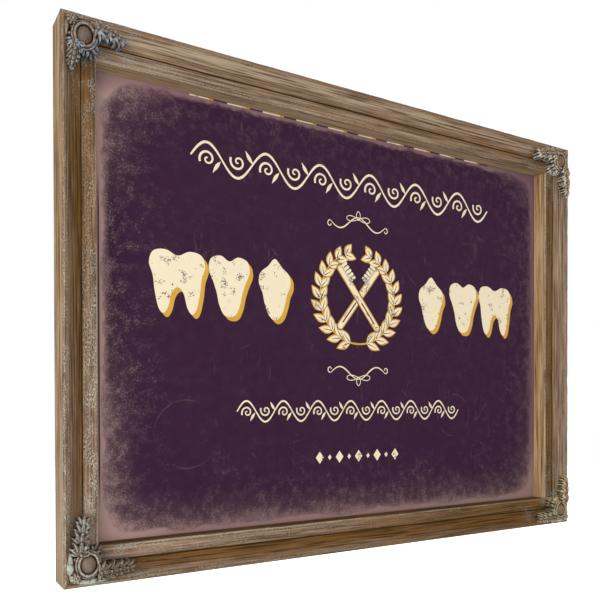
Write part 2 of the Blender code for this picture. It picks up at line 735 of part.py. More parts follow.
def main():
    clear_scene()
    holes = fastener_cutter()
    plate_holes = plate_hole_cutter()
    seat = seat_cutter()
    rail("bottom_rail", SIGN_WIDTH, (0, FRONT_Y, BOTTOM_Z), 0, holes)
    rail("top_rail", SIGN_WIDTH, (0, FRONT_Y, TOP_Z), math.pi, holes)
    rail("left_rail", SIGN_HEIGHT, (-HALF_WIDTH, FRONT_Y, MIDDLE_Z), math.pi / 2, holes)
    rail("right_rail", SIGN_HEIGHT, (HALF_WIDTH, FRONT_Y, MIDDLE_Z), -math.pi / 2, holes)
    for corner in CORNERS:
        corner_ornament(corner, seat)
        mitre_nails(corner)
    panel_front = BACK_Y - REBATE_DEPTH + SEAT_GAP
    backing_front = panel_front + PANEL_THICKNESS + SEAT_GAP
    board("sign_panel", panel_front, PANEL_THICKNESS, printed_board())
    board("backing_board", backing_front, BACKING_THICKNESS, hardboard())
    for name, x, z, heading in button_places():
        turn_button(name, x, z, heading, plate_holes)
        turn_button_screw(name, x, z)
    for name, side in SIDES:
        hanger_strap(name, side, plate_holes)
        hanger_ring(name, side)
        bumper(name, side)
    for name, x, z in hanger_screw_places():
        hanger_screw(name, x, z)


main()
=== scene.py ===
"""Looks of a framed trade sign: woods, castings, print and hardware, with its stage and camera.

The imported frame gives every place. X runs to the right, Y into the wall and Z up, in metres.
"""

import math
import random
from functools import reduce
from typing import NamedTuple

import bmesh
import bpy
import numpy as np
from bpy.props import FloatProperty, FloatVectorProperty, PointerProperty
from mathutils import Matrix, Vector, noise


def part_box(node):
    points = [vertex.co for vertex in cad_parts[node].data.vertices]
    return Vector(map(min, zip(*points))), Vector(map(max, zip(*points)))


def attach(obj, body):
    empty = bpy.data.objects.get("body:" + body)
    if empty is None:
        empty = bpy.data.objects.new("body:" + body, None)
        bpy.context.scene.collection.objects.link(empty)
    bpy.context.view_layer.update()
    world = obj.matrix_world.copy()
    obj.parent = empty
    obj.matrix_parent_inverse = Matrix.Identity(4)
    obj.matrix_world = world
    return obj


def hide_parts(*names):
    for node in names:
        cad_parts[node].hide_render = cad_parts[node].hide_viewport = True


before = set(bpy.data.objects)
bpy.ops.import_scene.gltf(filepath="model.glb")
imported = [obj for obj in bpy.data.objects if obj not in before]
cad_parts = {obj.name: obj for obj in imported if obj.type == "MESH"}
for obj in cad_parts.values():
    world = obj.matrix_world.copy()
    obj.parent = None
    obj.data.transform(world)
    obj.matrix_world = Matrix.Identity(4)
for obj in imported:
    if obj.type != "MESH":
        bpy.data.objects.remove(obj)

bl_info = {
    "name": "Framed Dentist Sign",
    "version": (1, 0, 0),
    "blender": (4, 5, 0),
    "location": "View3D > Sidebar > Sign",
    "description": "Dresses the packed frame of a framed dentist sign",
    "category": "Object",
}

ROOT_BODY = "framed_sign"
CORNERS = {
    "top_left": (-1, 1),
    "top_right": (1, 1),
    "bottom_left": (-1, -1),
    "bottom_right": (1, -1),
}
BUTTONS = ("top_left", "top_right", "bottom_left", "bottom_right", "left", "right")
SIDES = ("left", "right")
LEVELS = ("upper", "lower")

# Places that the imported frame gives
LEFT_LOW, LEFT_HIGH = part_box("left_rail")
_, RIGHT_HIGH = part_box("right_rail")
BOTTOM_LOW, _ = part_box("bottom_rail")
_, TOP_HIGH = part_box("top_rail")
FRONT_Y = LEFT_LOW.y
PRINT_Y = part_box("sign_panel")[0].y
HALF_WIDTH = (RIGHT_HIGH.x - LEFT_LOW.x) / 2
HALF_HEIGHT = (TOP_HIGH.z - BOTTOM_LOW.z) / 2
MIDDLE_Z = (TOP_HIGH.z + BOTTOM_LOW.z) / 2
RAIL_WIDTH = LEFT_HIGH.x - LEFT_LOW.x
RAIL_DEPTH = LEFT_HIGH.y - FRONT_Y
SIGHT_HALF_WIDTH = HALF_WIDTH - RAIL_WIDTH
SIGHT_HALF_HEIGHT = HALF_HEIGHT - RAIL_WIDTH


def tone(red, green, blue):
    """A screen colour from 0 to 255 as the linear colour that shaders take."""
    shares = [value / 255 for value in (red, green, blue)]
    return tuple(s / 12.92 if s <= 0.04045 else ((s + 0.055) / 1.055) ** 2.4 for s in shares)


def size_property(name, value, description):
    return FloatProperty(name=name, description=description, default=value, unit="LENGTH", precision=5)


def colour_property(name, value, description):
    return FloatVectorProperty(
        name=name, description=description, default=value, subtype="COLOR", size=3, min=0.0, max=1.0
    )


def angle_property(name, degrees, description):
    return FloatProperty(
        name=name, description=description, default=math.radians(degrees), subtype="ANGLE", unit="ROTATION"
    )


class WoodSettings(bpy.types.PropertyGroup):
    """Moulding profile and weathered finish of the four rails."""

    lip_radius: size_property("Lip radius", 0.0022, "Rounding of the outer lip")
    scoop_width: size_property("Scoop width", 0.0183, "From the outer edge to the groove")
    scoop_depth: size_property("Scoop depth", 0.0107, "Depth of the scoop at the groove")
    scoop_sag: size_property("Scoop sag", 0.0009, "How far the scoop is dished")
    groove_width: size_property("Groove width", 0.0012, "Width of the thin groove")
    groove_depth: size_property("Groove depth", 0.0009, "Depth of the thin groove")
    liner_depth: size_property("Liner depth", 0.0111, "Depth of the flat inner band")
    sight_radius: size_property("Sight radius", 0.0015, "Rounding of the sight edge")
    rebate_width: size_property("Rebate width", 0.0070, "Width of the rebate at the back")
    rebate_depth: size_property("Rebate depth", 0.0060, "Depth of the rebate at the back")
    back_ease: size_property("Back ease", 0.0008, "Chamfer at the back's outer edge")
    mitre_gap: size_property("Mitre gap", 0.0003, "Glue gap in each mitre")
    edge_wear: size_property("Edge wear", 0.0006, "How deep the lips are worn")
    station: size_property("Station", 0.0040, "Length between cross sections")
    face: colour_property("Face", tone(142, 119, 98), "Weathered show side")
    face_dark: colour_property("Dark grain", tone(88, 66, 46), "Grain lines of the show side")
    face_pale: colour_property("Pale grain", tone(180, 160, 134), "Dry pale fibres")
    face_warm: colour_property("Warm wood", tone(156, 120, 92), "Where the grey has rubbed off")
    # The glaze colour is also laid as painted shade, thickest on the bottom and left rails
    glaze_and_shade: colour_property("Glaze", tone(112, 75, 20), "Brown glaze in the hollows")
    # Dirt in the groove, and also faint painted shade on the bottom rail
    soot_and_shade: colour_property("Soot", tone(52, 35, 14), "Dirt in the groove")
    raw: colour_property("Raw wood", tone(178, 141, 100), "Bare outer sides and back")
    # Painted light: honey-coloured bare wood laid only on the top and right reveals
    lit_bare_wood: colour_property("Honey wood", tone(222, 180, 126), "Bare wood that was never greyed")
    raw_dark: colour_property("Raw grain", tone(92, 64, 40), "Grain lines of the bare wood")
    wear: colour_property("Worn lip", tone(206, 198, 180), "Pale rubbed lips")
    verdigris: colour_property("Verdigris", tone(150, 168, 168), "Rubbed patina near the corners")


class CastingSettings(bpy.types.PropertyGroup):
    """Sizes and colours of the four corner castings."""

    leg_length: size_property("Leg length", 0.062, "From the corner to a leg's tip")
    leg_root: size_property("Leg root", 0.0272, "Where the first fan starts")
    leg_across: size_property("Leg across", 0.0106, "Middle of a leg from the outer edge")
    leg_crest: size_property("Leg crest", 0.0082, "Height of the first fan")
    leg_tip_crest: size_property("Tip crest", 0.0050, "Height of the last fan")
    leaf_width: size_property("Leaf width", 0.0021, "Half width of the longest leaf")
    cabochon_width: size_property("Cabochon half width", 0.0068, "Half width of the oval boss")
    cabochon_height: size_property("Cabochon half height", 0.0082, "Half height of the oval boss")
    cabochon_crest: size_property("Cabochon crest", 0.0066, "Height of the oval boss")
    bezel_width: size_property("Bezel width", 0.0024, "Width of the ring round the boss")
    bezel_crest: size_property("Bezel crest", 0.0044, "Height of the ring round the boss")
    rosette_centre: size_property("Rosette centre", 0.0076, "From both outer edges")
    rosette_radius: size_property("Rosette radius", 0.0054, "From its centre to the petals' ends")
    voxel: size_property("Voxel", 0.00040, "Fineness of the fused casting")
    body: colour_property("Body", tone(112, 92, 73), "Bronze-brown base")
    body_dark: colour_property("Dark body", tone(96, 76, 58), "Darker patches of the base")
    crevice: colour_property("Crevice", tone(24, 22, 30), "Dark glaze in the crevices")
    crest: colour_property("Crest", tone(196, 182, 158), "Rubbed high spots")
    upper_patina: colour_property("Upper patina", tone(158, 190, 212), "Blue-grey patina of the top corners")
    lower_patina: colour_property(
        "Lower patina", tone(174, 184, 166), "Grey-green patina of the lower corners"
    )
    chalky: colour_property("Chalky patina", tone(204, 212, 212), "Patina where it has dried out")


class PrintSettings(bpy.types.PropertyGroup):
    """Colours and sizes of the printed board."""

    ground: colour_property("Ground", tone(50, 23, 48), "Plum ground")
    ground_pale: colour_property("Pale ground", tone(84, 58, 76), "Paler clouds in the ground")
    worn: colour_property("Worn border", tone(146, 118, 114), "Faded mauve border")
    # Painted light: the left border is made paler against the shadow that the left rail casts on it
    lit_left_border: colour_property("Worn left border", tone(186, 153, 147), "Where the border has faded most")
    # Painted shadow under the top rail, and a darker tone along the right side
    darker_border: colour_property("Worn far border", tone(117, 88, 98), "Where the border has faded least")
    cream: colour_property("Cream", tone(243, 229, 196), "Cream ink")
    gold: colour_property("Gold", tone(214, 162, 50), "Gold ink")
    border: size_property("Border", 0.0062, "Width of the faded border at the sides")
    left_extra: size_property("Left extra", 0.0022, "How much wider the faded border is at the left")
    # A painted shadow: the thin dark line along the left lip
    left_shadow_line: size_property("Left line", 0.0056, "Thin dark line's distance from the left sight edge")
    end_border: size_property("End border", 0.0044, "Width of the faded border at the top and bottom")
    border_fade: size_property("Border fade", 0.0220, "Width of its mottled fade")
    ink: size_property("Ink", 0.00006, "Thickness of an ink layer")
    centre: size_property("Centre", 0.0040, "How far right of the middle the design sits")
    tooth_height: size_property("Tooth height", 0.0620, "Height of the teeth")
    row_rise: size_property("Row rise", 0.0300, "Middle of the teeth and the wreath above the board's middle")
    shade: size_property("Shade", 0.0040, "Throw of the gold shade")
    stroke: size_property("Stroke", 0.0026, "Line weight of the running scrolls")
    dash_pitch: size_property("Dash pitch", 0.0410, "Length of one repeat of the dashed stripe")
    dash_height: size_property("Dash height", 0.0014, "Height of the dashed stripe")


class HardwareSettings(bpy.types.PropertyGroup):
    """Colours and small sizes of the hardware, and the colours of the back."""

    zinc: colour_property("Zinc", tone(190, 190, 184), "Zinc plated screws and buttons")
    blued: colour_property("Blued", tone(96, 98, 102), "Blued steel hangers")
    ease: size_property("Ease", 0.00022, "Rounding of stamped edges")
    head_height: size_property("Head height", 0.0018, "Height of a screw's head")
    recess_depth: size_property("Recess depth", 0.0010, "Depth of a screw's cross recess")
    hardboard: colour_property("Hardboard", tone(122, 88, 58), "Backing board")
    rubber: colour_property("Rubber", tone(34, 34, 34), "Bumpers")


class StageSettings(bpy.types.PropertyGroup):
    """Camera, lamps and floor."""

    camera_left: size_property("Camera left", 0.1294, "Camera's distance left of the sign's left edge")
    camera_front: size_property("Camera front", 0.6172, "Camera's distance in front of the sign")
    camera_rise: size_property("Camera rise", 0.1624, "Camera's height above the bottom edge")
    camera_yaw: angle_property("Camera yaw", 30.768, "Turn of the camera to the right")
    camera_pitch: angle_property("Camera pitch", -0.590, "Tilt of the camera, upward above zero")
    camera_roll: angle_property("Camera roll", -0.115, "Turn of the camera about its view")
    lens: FloatProperty(name="Lens", description="Focal length on a 36 mm sensor", default=41.461)
    shift: FloatProperty(name="Shift", description="Vertical shift of the view", default=0.1825)
    key: FloatProperty(name="Key", description="Power of the key lamp in watts", default=86.0)
    under: FloatProperty(name="Under", description="Power of the low lamp in watts", default=7.0)
    fill: FloatProperty(name="Fill", description="Power of the fill lamp in watts", default=10.0)
    world: FloatProperty(name="World", description="Strength of the soft surround", default=0.42)
    floor_drop: size_property("Floor drop", 0.25, "How far the floor lies below the hanging sign")
    floor: colour_property("Floor", tone(238, 238, 236), "Pale floor")


SETTINGS = {
    "sign_wood": WoodSettings,
    "sign_casting": CastingSettings,
    "sign_print": PrintSettings,
    "sign_hardware": HardwareSettings,
    "sign_stage": StageSettings,
}


def settings(name):
    return getattr(bpy.context.scene, name)


class Value:
    """A number inside a node tree, which takes part in sums as a plain number does."""

    def __init__(self, nodes, socket):
        self.nodes, self.socket = nodes, socket

    def __add__(self, other):
        return self.nodes.math("ADD", self, other)

    def __sub__(self, other):
        return self.nodes.math("SUBTRACT", self, other)

    def __rsub__(self, other):
        return self.nodes.math("SUBTRACT", other, self)

    def __mul__(self, other):
        return self.nodes.math("MULTIPLY", self, other)

    def __truediv__(self, other):
        return self.nodes.math("DIVIDE", self, other)

    def __abs__(self):
        return self.nodes.math("ABSOLUTE", self)

    def most(self, other):
        return self.nodes.math("MAXIMUM", self, other)

    def least(self, other):
        return self.nodes.math("MINIMUM", self, other)

    def span(self, low, high, out_low=0.0, out_high=1.0):
        """Maps a range smoothly to another and keeps to its ends."""
        fed = {"Value": self, "From Min": low, "From Max": high, "To Min": out_low, "To Max": out_high}
        return self.nodes.make("ShaderNodeMapRange", "Result", fed, interpolation_type="SMOOTHSTEP")


class Nodes:
    """A node tree, with short calls for the nodes that are put into it."""

    def __init__(self, tree):
        self.tree = tree

    def feed(self, socket, value):
        """Links an output into a socket, or sets a plain value there."""
        if isinstance(value, Value):
            self.tree.links.new(value.socket, socket)
        elif isinstance(value, (int, float)):
            socket.default_value = value
        else:
            socket.default_value = (*value, 1.0) if len(value) == 3 and socket.type == "RGBA" else value

    def make(self, kind, outputs, fed, **values):
        """Adds a node, feeds its sockets and gives the output of that name, or several."""
        made = self.tree.nodes.new(kind)
        for key, value in values.items():
            setattr(made, key, value)
        for key, value in fed.items():
            self.feed(made.inputs[key], value)
        if isinstance(outputs, str):
            return Value(self, made.outputs[outputs])
        return [Value(self, made.outputs[output]) for output in outputs]

    def math(self, operation, first, second=0.0, third=0.0):
        return self.make("ShaderNodeMath", "Value", {0: first, 1: second, 2: third}, operation=operation)


class Finish(Nodes):
    """One material, with short calls for what its finish is made of."""

    def __init__(self, name, roughness, metallic=0.0, specular=0.35):
        self.material = bpy.data.materials.new(name)
        self.material.use_nodes = True
        super().__init__(self.material.node_tree)
        self.shader = self.tree.nodes["Principled BSDF"]
        self.shader.inputs["Roughness"].default_value = roughness
        self.shader.inputs["Metallic"].default_value = metallic
        self.shader.inputs["Specular IOR Level"].default_value = specular

    def place(self, kind="Object"):
        return self.make("ShaderNodeTexCoord", kind, {})

    def attribute(self, name, output="Color"):
        return self.make("ShaderNodeAttribute", output, {}, attribute_name=name)

    def stretch(self, vector, scale, location=(0, 0, 0)):
        fed = {"Vector": vector, "Scale": scale, "Location": location}
        return self.make("ShaderNodeMapping", "Vector", fed)

    def noise(self, vector, scale, detail=4.0, roughness=0.55, distortion=0.0):
        fed = {"Vector": vector, "Scale": scale, "Detail": detail}
        fed |= {"Roughness": roughness, "Distortion": distortion}
        return self.make("ShaderNodeTexNoise", "Fac", fed)

    def mix(self, share, first, second, blend="MIX"):
        fed = {"Factor": share, "A": first, "B": second}
        return self.make("ShaderNodeMix", "Result", fed, data_type="RGBA", blend_type=blend)

    def coats(self, under, *coats):
        """Colours laid one over another, each told as (share, colour)."""
        for share, over in coats:
            under = self.mix(share, under, over)
        return under

    def split(self, colour):
        return self.make("ShaderNodeSeparateColor", ("Red", "Green", "Blue"), {"Color": colour})

    def axes(self, vector):
        return self.make("ShaderNodeSeparateXYZ", ("X", "Y", "Z"), {"Vector": vector})

    def colour(self, value):
        self.feed(self.shader.inputs["Base Color"], value)

    def rough(self, value):
        self.feed(self.shader.inputs["Roughness"], value)

    def bump(self, height, distance, strength=1.0):
        fed = {"Height": height, "Distance": distance, "Strength": strength}
        self.feed(self.shader.inputs["Normal"], self.make("ShaderNodeBump", "Normal", fed))


def weathered_wood(name):
    """Greyed wood with a brown glaze in its hollows, pale rubbed lips and bare sides, and painted light and
    shade laid in through its glaze.
    """
    wood = settings("sign_wood")
    made = Finish(name, 0.72, specular=0.12)
    along = made.place("UV")
    glaze_and_shade, worn, raw = made.split(made.attribute("finish"))
    patina = made.attribute("finish", "Alpha")
    grain = made.noise(made.stretch(along, (12, 560, 1)), 1.0, 7.0, 0.68, 0.25)
    hair = made.noise(made.stretch(along, (34, 1900, 1)), 1.0, 4.0, 0.62)
    broad = made.noise(made.stretch(along, (7, 125, 1)), 1.0, 5.0, 0.6, 0.7)
    blotch = made.noise(made.stretch(along, (55, 95, 1)), 1.0, 5.0, 0.62)
    speckle = made.noise(made.stretch(along, (450, 950, 1)), 1.0, 4.0, 0.7)
    show = made.coats(
        made.mix(grain.span(0.41, 0.55), wood.face_dark, wood.face),
        (broad.span(0.46, 0.64) * 0.6, wood.face_warm),
        (grain.span(0.54, 0.68) * 0.85, wood.face_pale),
        (hair.span(0.50, 0.34) * 0.45, wood.face_dark),
    )
    bare = made.coats(
        made.mix(grain.span(0.40, 0.56), wood.raw_dark, wood.raw),
        (broad.span(0.50, 0.60) * 0.75, wood.face_pale),
        (broad.span(0.47, 0.39) * 0.8, wood.raw_dark),
        (hair.span(0.50, 0.34) * 0.5, wood.raw_dark),
    )
    # A glaze below 0 is painted light as pale fibres, and a raw share above 1 is painted light as
    # honey-coloured wood
    lit_pale = glaze_and_shade.span(0.0, -0.8) * grain.span(0.40, 0.55)
    lit_honey = raw.span(1.0, 2.0) * grain.span(0.36, 0.52)
    glaze_and_shade = glaze_and_shade.most(0.0)
    uneven = ((broad - 0.5) * 1.1 + (blotch - 0.5) * 0.8) * (glaze_and_shade * 3.0).least(1.0)
    # Thick glaze here is also the painted shade of the left and bottom rails
    glaze_and_shade_share = (glaze_and_shade + uneven).span(0.05, 0.90) * 0.92
    stain_and_shade = made.mix(grain.span(0.38, 0.58), wood.soot_and_shade, wood.glaze_and_shade)
    stain_and_shade = made.mix(broad.span(0.52, 0.64) * 0.22, stain_and_shade, wood.face_warm)
    flaked = speckle.span(0.47, 0.60) * blotch.span(0.34, 0.58)
    bloom = patina * (blotch.span(0.46, 0.60) * flaked)
    made.colour(made.coats(
        made.mix(raw, show, bare),
        (lit_honey, wood.lit_bare_wood),
        (lit_pale * 0.85, wood.face_pale),
        (glaze_and_shade_share, stain_and_shade),
        # Glaze above 1.05 lays the dark colour: dirt in the groove, and faint painted shade on the bottom
        # rail
        (glaze_and_shade.span(1.05, 1.45), wood.soot_and_shade),
        (worn * flaked * 0.85, wood.wear),
        (bloom * 0.85, wood.verdigris),
    ))
    made.rough(broad.span(0.3, 0.7, 0.82, 0.62))
    made.bump(grain + hair * 0.5, 0.0006, 0.6)
    return made.material


def cast_patina(name, patina):
    """Bronze-brown composition, dark in its crevices, rubbed on its crests and dusted with patina."""
    casting = settings("sign_casting")
    made = Finish(name, 0.5, specular=0.45)
    place = made.place()
    relief, dust, chalky = made.split(made.attribute("relief"))
    patch = made.noise(place, 210.0, 4.0, 0.62)
    grain = made.noise(place, 1100.0, 3.0, 0.6)
    dusted = (patch + dust).span(0.98, 1.16) * relief.span(0.30, 0.52)
    rubbed = relief.span(0.58, 0.84) * grain.span(0.40, 0.58)
    tinted = made.coats(
        made.mix(patch.span(0.40, 0.62), casting.body_dark, casting.body),
        (dusted * 0.9, made.mix(chalky, getattr(casting, patina), casting.chalky)),
        (rubbed * 0.85, casting.crest),
        (relief.span(0.50, 0.28), casting.crevice),
    )
    made.colour(made.mix(1.0, tinted, made.attribute("age"), "MULTIPLY"))
    made.rough(patch.span(0.35, 0.65, 0.42, 0.68))
    made.bump(grain, 0.00025, 0.5)
    return made.material


def scratches(made, place):
    """Faint hair lines that wander over the print, and short scratches across them."""
    lines = []
    for scale, offset in (((22, 1, 7), 0.0), ((9, 1, 19), 2.3)):
        wander = made.noise(made.stretch(place, scale, (offset, 0, offset)), 1.0, 1.0, 0.4, 0.1)
        lines.append(abs(wander - 0.5).span(0.003, 0.008, 0.30, 0.0))
    for angle, across, offset in ((3, 430, 0.0), (-8, 400, 1.7), (47, 420, 3.1)):
        fed = {"Vector": place, "Rotation": (0, math.radians(angle), 0)}
        turned = made.make("ShaderNodeMapping", "Vector", fed)
        warp = made.stretch(turned, (across, 1, 24), (offset, 0, offset))
        lines.append(made.noise(warp, 1.0, 1.0, 0.5, 0.5).span(0.69, 0.74))
    gate = made.noise(made.stretch(place, (1, 1, 1), (4.2, 0, 1.3)), 24.0, 4.0, 0.65)
    return reduce(Value.most, lines) * gate.span(0.53, 0.64)


# Rings on the print: right of its middle, above its middle, and radius
RING_MARKS = ((-0.205, -0.120, 0.034), (0.150, -0.105, 0.026), (0.235, 0.070, 0.036))


def ring_marks(made, place):
    """Faint rings, as a wet glass leaves them."""
    x, _, z = made.axes(place)
    rings = []
    for centre_x, centre_z, radius in RING_MARKS:
        from_x, from_z = x - centre_x, z - (MIDDLE_Z + centre_z)
        away = made.math("SQRT", from_x * from_x + from_z * from_z)
        rings.append(abs(away - radius).span(0.0004, 0.0012, 1.0, 0.0))
    gate = made.noise(place, 45.0, 4.0, 0.65)
    return reduce(Value.most, rings) * gate.span(0.42, 0.58)


def worn_border(made, place, inside, clump, cloud, mottle):
    """How far the print has faded: its border, the mottled fade inside it and a veil low down."""
    ink = settings("sign_print")
    x, _, z = made.axes(place)
    edge = inside + ((cloud - 0.5) * 0.013 + (clump - 0.5) * 0.006)
    solid = edge.span(ink.border - 0.0010, ink.border + 0.0035, 1.0, 0.0)
    reach = cloud.span(0.36, 0.64, 0.45 * ink.border_fade, 1.40 * ink.border_fade)
    upper = z.span(MIDDLE_Z + 0.06, MIDDLE_Z + 0.16)
    central = abs(x).span(0.18, 0.27, 0.78, 0.0)
    share = ((edge - ink.border) / (reach * (1.0 - upper * central))).most(0.0)
    level = mottle + (clump - 0.5) * 0.35
    spots = (level - (made.math("SQRT", share) * 0.112 + 0.468)).span(-0.05, 0.06, 0.0, 0.27)
    mist = share.span(-0.30, 0.66, 0.66, 0.0) * clump.span(0.36, 0.62, 0.50, 1.05)
    low = z.span(MIDDLE_Z + 0.02, MIDDLE_Z - 0.15)
    corner = z.span(MIDDLE_Z + 0.08, MIDDLE_Z + 0.16) * x.span(-0.19, -0.27, 0.0, 0.65)
    veil = inside.span(0.046, 0.006, 0.0, 0.17) * low.most(corner)
    mist = mist + veil * clump.span(0.34, 0.60, 0.6, 1.0)
    return solid.most(mist + spots)


def worn_print(name):
    """Matt plum print whose border has faded and whose ground is scratched and specked, with painted light at
    its left edge and painted shadow under the top rail and along the left lip.
    """
    ink = settings("sign_print")
    made = Finish(name, 0.66, specular=0.08)
    place = made.place()
    x, _, z = made.axes(place)
    middle = ink.left_extra / 2
    from_side = SIGHT_HALF_WIDTH - middle - abs(x - middle)
    from_end = SIGHT_HALF_HEIGHT - abs(z - MIDDLE_Z) + (ink.border - ink.end_border)
    inside = made.math("SMOOTH_MIN", from_side, from_end, 0.060)
    grain = made.noise(place, 820.0, 4.0, 0.68)
    mottle = made.noise(place, 600.0, 5.0, 0.72)
    clump = made.noise(place, 95.0, 5.0, 0.65)
    cloud = made.noise(place, 24.0, 4.0, 0.6)
    border = worn_border(made, place, inside, clump, cloud, mottle)
    far_speck = made.noise(place, 560.0, 2.0, 0.5).span(0.68, 0.76) * cloud.span(0.42, 0.62)
    haze = clump.span(0.44, 0.68) * grain.span(0.36, 0.66)
    marks = scratches(made, place).most(far_speck).most(ring_marks(made, place) * 0.55)
    marked = made.coats(
        ink.ground,
        (cloud * 0.12, ink.ground_pale),
        (haze * inside.span(0.012, 0.080, 0.20, 0.05), ink.worn),
        (marks * 0.26, ink.worn),
    )
    # The border's tone: painted light at the left, painted shadow under the top rail, and darker along the
    # right side
    border_colour = made.coats(
        made.mix(x.span(-0.290, -0.20), ink.lit_left_border, ink.worn),
        (x.span(0.20, 0.28) * z.span(MIDDLE_Z - 0.20, MIDDLE_Z - 0.13), ink.darker_border),
        (z.span(MIDDLE_Z + 0.195, MIDDLE_Z + 0.212) * 0.5, ink.darker_border),
    )
    # Painted shadow: a thin dark line just inside the left lip
    shadow_line_off = abs(x - (ink.left_shadow_line - SIGHT_HALF_WIDTH))
    shadow_line_end = abs(z - (MIDDLE_Z - 0.03))
    shadow_line_share = shadow_line_off.span(0.0005, 0.0010, 1.0, 0.0) * shadow_line_end.span(0.12, 0.165, 0.9, 0.0)
    made.colour(made.coats(marked, (border, border_colour), (shadow_line_share, ink.ground)))
    made.rough(mottle.span(0.3, 0.7, 0.55, 0.72))
    return made.material


def ink_finish(name, colour, flecked):
    """Matt ink, flecked through to the ground where the printing has worn."""
    ink = settings("sign_print")
    made = Finish(name, 0.6, specular=0.15)
    place = made.place()
    fleck = made.noise(place, 760.0, 3.0, 0.62)
    patch = made.noise(place, 95.0, 2.0, 0.5)
    holes = made.math("GREATER_THAN", fleck, patch.span(0.50, 0.66, 0.73, 0.53))
    soft = made.noise(place, 2400.0, 2.0, 0.5)
    made.colour(made.coats(getattr(ink, colour), (soft * 0.16, ink.worn), (holes * flecked, ink.ground)))
    return made.material


def plated_steel(name, plating, roughness):
    """Dull plating with fine scuffs and a few darker stains."""
    colour = tuple(getattr(settings("sign_hardware"), plating))
    made = Finish(name, roughness, metallic=1.0, specular=0.5)
    place = made.place()
    scuff = made.noise(made.stretch(place, (300, 300, 2400)), 1.0, 4.0, 0.6)
    stain = made.noise(place, 260.0, 4.0, 0.6)
    dull = tuple(0.55 * channel for channel in colour)
    made.colour(made.mix(stain.span(0.52, 0.72) * 0.6, colour, dull))
    made.rough(scuff.span(0.3, 0.7, roughness - 0.08, roughness + 0.14))
    made.bump(scuff, 0.00005, 0.3)
    return made.material


def pressed_hardboard(name):
    """Brown fibreboard with a mesh print on its rough side."""
    made = Finish(name, 0.85, specular=0.15)
    place = made.place()
    base = settings("sign_hardware").hardboard
    fibre = made.noise(place, 700.0, 4.0, 0.7)
    cloud = made.noise(place, 30.0, 3.0, 0.5)
    pale = tuple(min(1.0, 1.7 * channel) for channel in base)
    deep = tuple(0.55 * channel for channel in base)
    tinted = made.mix(fibre.span(0.30, 0.72), deep, pale)
    made.colour(made.mix(cloud.span(0.3, 0.7, 0.35, 0.65), tinted, base))
    x, _, z = made.axes(place)
    weave = made.math("SINE", x * 3200.0) * made.math("SINE", z * 3200.0)
    made.bump(fibre + weave * 0.25, 0.0003, 0.6)
    return made.material


def soft_rubber(name):
    made = Finish(name, 0.8, specular=0.3)
    base = settings("sign_hardware").rubber
    dust = made.noise(made.place(), 500.0, 4.0, 0.6)
    pale = tuple(channel + 0.03 for channel in base)
    made.colour(made.mix(dust.span(0.45, 0.75), base, pale))
    made.bump(dust, 0.0001, 0.4)
    return made.material


# What builds each finish, and what it is told: a colour's name, then how flecked or how rough it is
FINISHES = {
    "weathered_wood": (weathered_wood,),
    "upper_casting": (cast_patina, "upper_patina"),
    "lower_casting": (cast_patina, "lower_patina"),
    "worn_print": (worn_print,),
    "cream_ink": (ink_finish, "cream", 0.92),
    "line_ink": (ink_finish, "cream", 0.25),
    "gold_ink": (ink_finish, "gold", 0.15),
    "dark_ink": (ink_finish, "ground", 0.0),
    "zinc_plate": (plated_steel, "zinc", 0.36),
    "blued_plate": (plated_steel, "blued", 0.34),
    "pressed_hardboard": (pressed_hardboard,),
    "soft_rubber": (soft_rubber,),
}


def finish(name):
    """The material of that name, built the first time that it is asked for."""
    build, *told = FINISHES[name]
    return bpy.data.materials.get(name) or build(name, *told)


def dress_node(node, finish_name):
    """Gives a carried-over CAD node its finish."""
    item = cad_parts[node]
    if not item.material_slots:
        item.data.materials.append(finish(finish_name))
    for slot in item.material_slots:
        slot.material = finish(finish_name)


def new_item(name, mesh):
    item = bpy.data.objects.new(name, mesh)
    bpy.context.scene.collection.objects.link(item)
    return item


def evaluated_mesh(item):
    """The mesh that an object's curve or modifiers make."""
    bpy.context.view_layer.update()
    return bpy.data.meshes.new_from_object(item.evaluated_get(bpy.context.evaluated_depsgraph_get()))


def mesh_from(bm, name, sharp=35.0):
    """Turns a bmesh into a mesh, smooth but for its sharp edges."""
    mesh = bpy.data.meshes.new(name)
    bm.to_mesh(mesh)
    bm.free()
    mesh.shade_smooth()
    mesh.set_sharp_from_angle(angle=math.radians(sharp))
    return mesh


def seat(item, finish_name, body=ROOT_BODY, replaced=()):
    """Gives a finished piece its material, its body and the CAD nodes that it stands for."""
    item.data.materials.clear()
    item.data.materials.append(finish(finish_name))
    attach(item, body)
    if replaced:
        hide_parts(*replaced)


def on_circle(centre, radius, angle):
    """The point of a circle at an angle in radians."""
    return centre[0] + radius * math.cos(angle), centre[1] + radius * math.sin(angle)


def arc(centre, radius, start, end, steps):
    """Points on a circle about centre, from one angle in degrees to the other."""
    angles = [math.radians(start + (end - start) * i / steps) for i in range(steps + 1)]
    return [on_circle(centre, radius, angle) for angle in angles]


def line(start, end, steps):
    """Points from start to end, both included."""
    return [tuple(Vector(start).lerp(Vector(end), i / steps)) for i in range(steps + 1)]


def scoop_points(wood, steps):
    start = Vector((wood.lip_radius, 0.0))
    end = Vector((wood.scoop_width, wood.scoop_depth))
    down = Vector((start.y - end.y, end.x - start.x)).normalized()
    shares = [i / steps for i in range(steps + 1)]
    return [tuple(start.lerp(end, t) + down * (4 * wood.scoop_sag * t * (1 - t))) for t in shares]


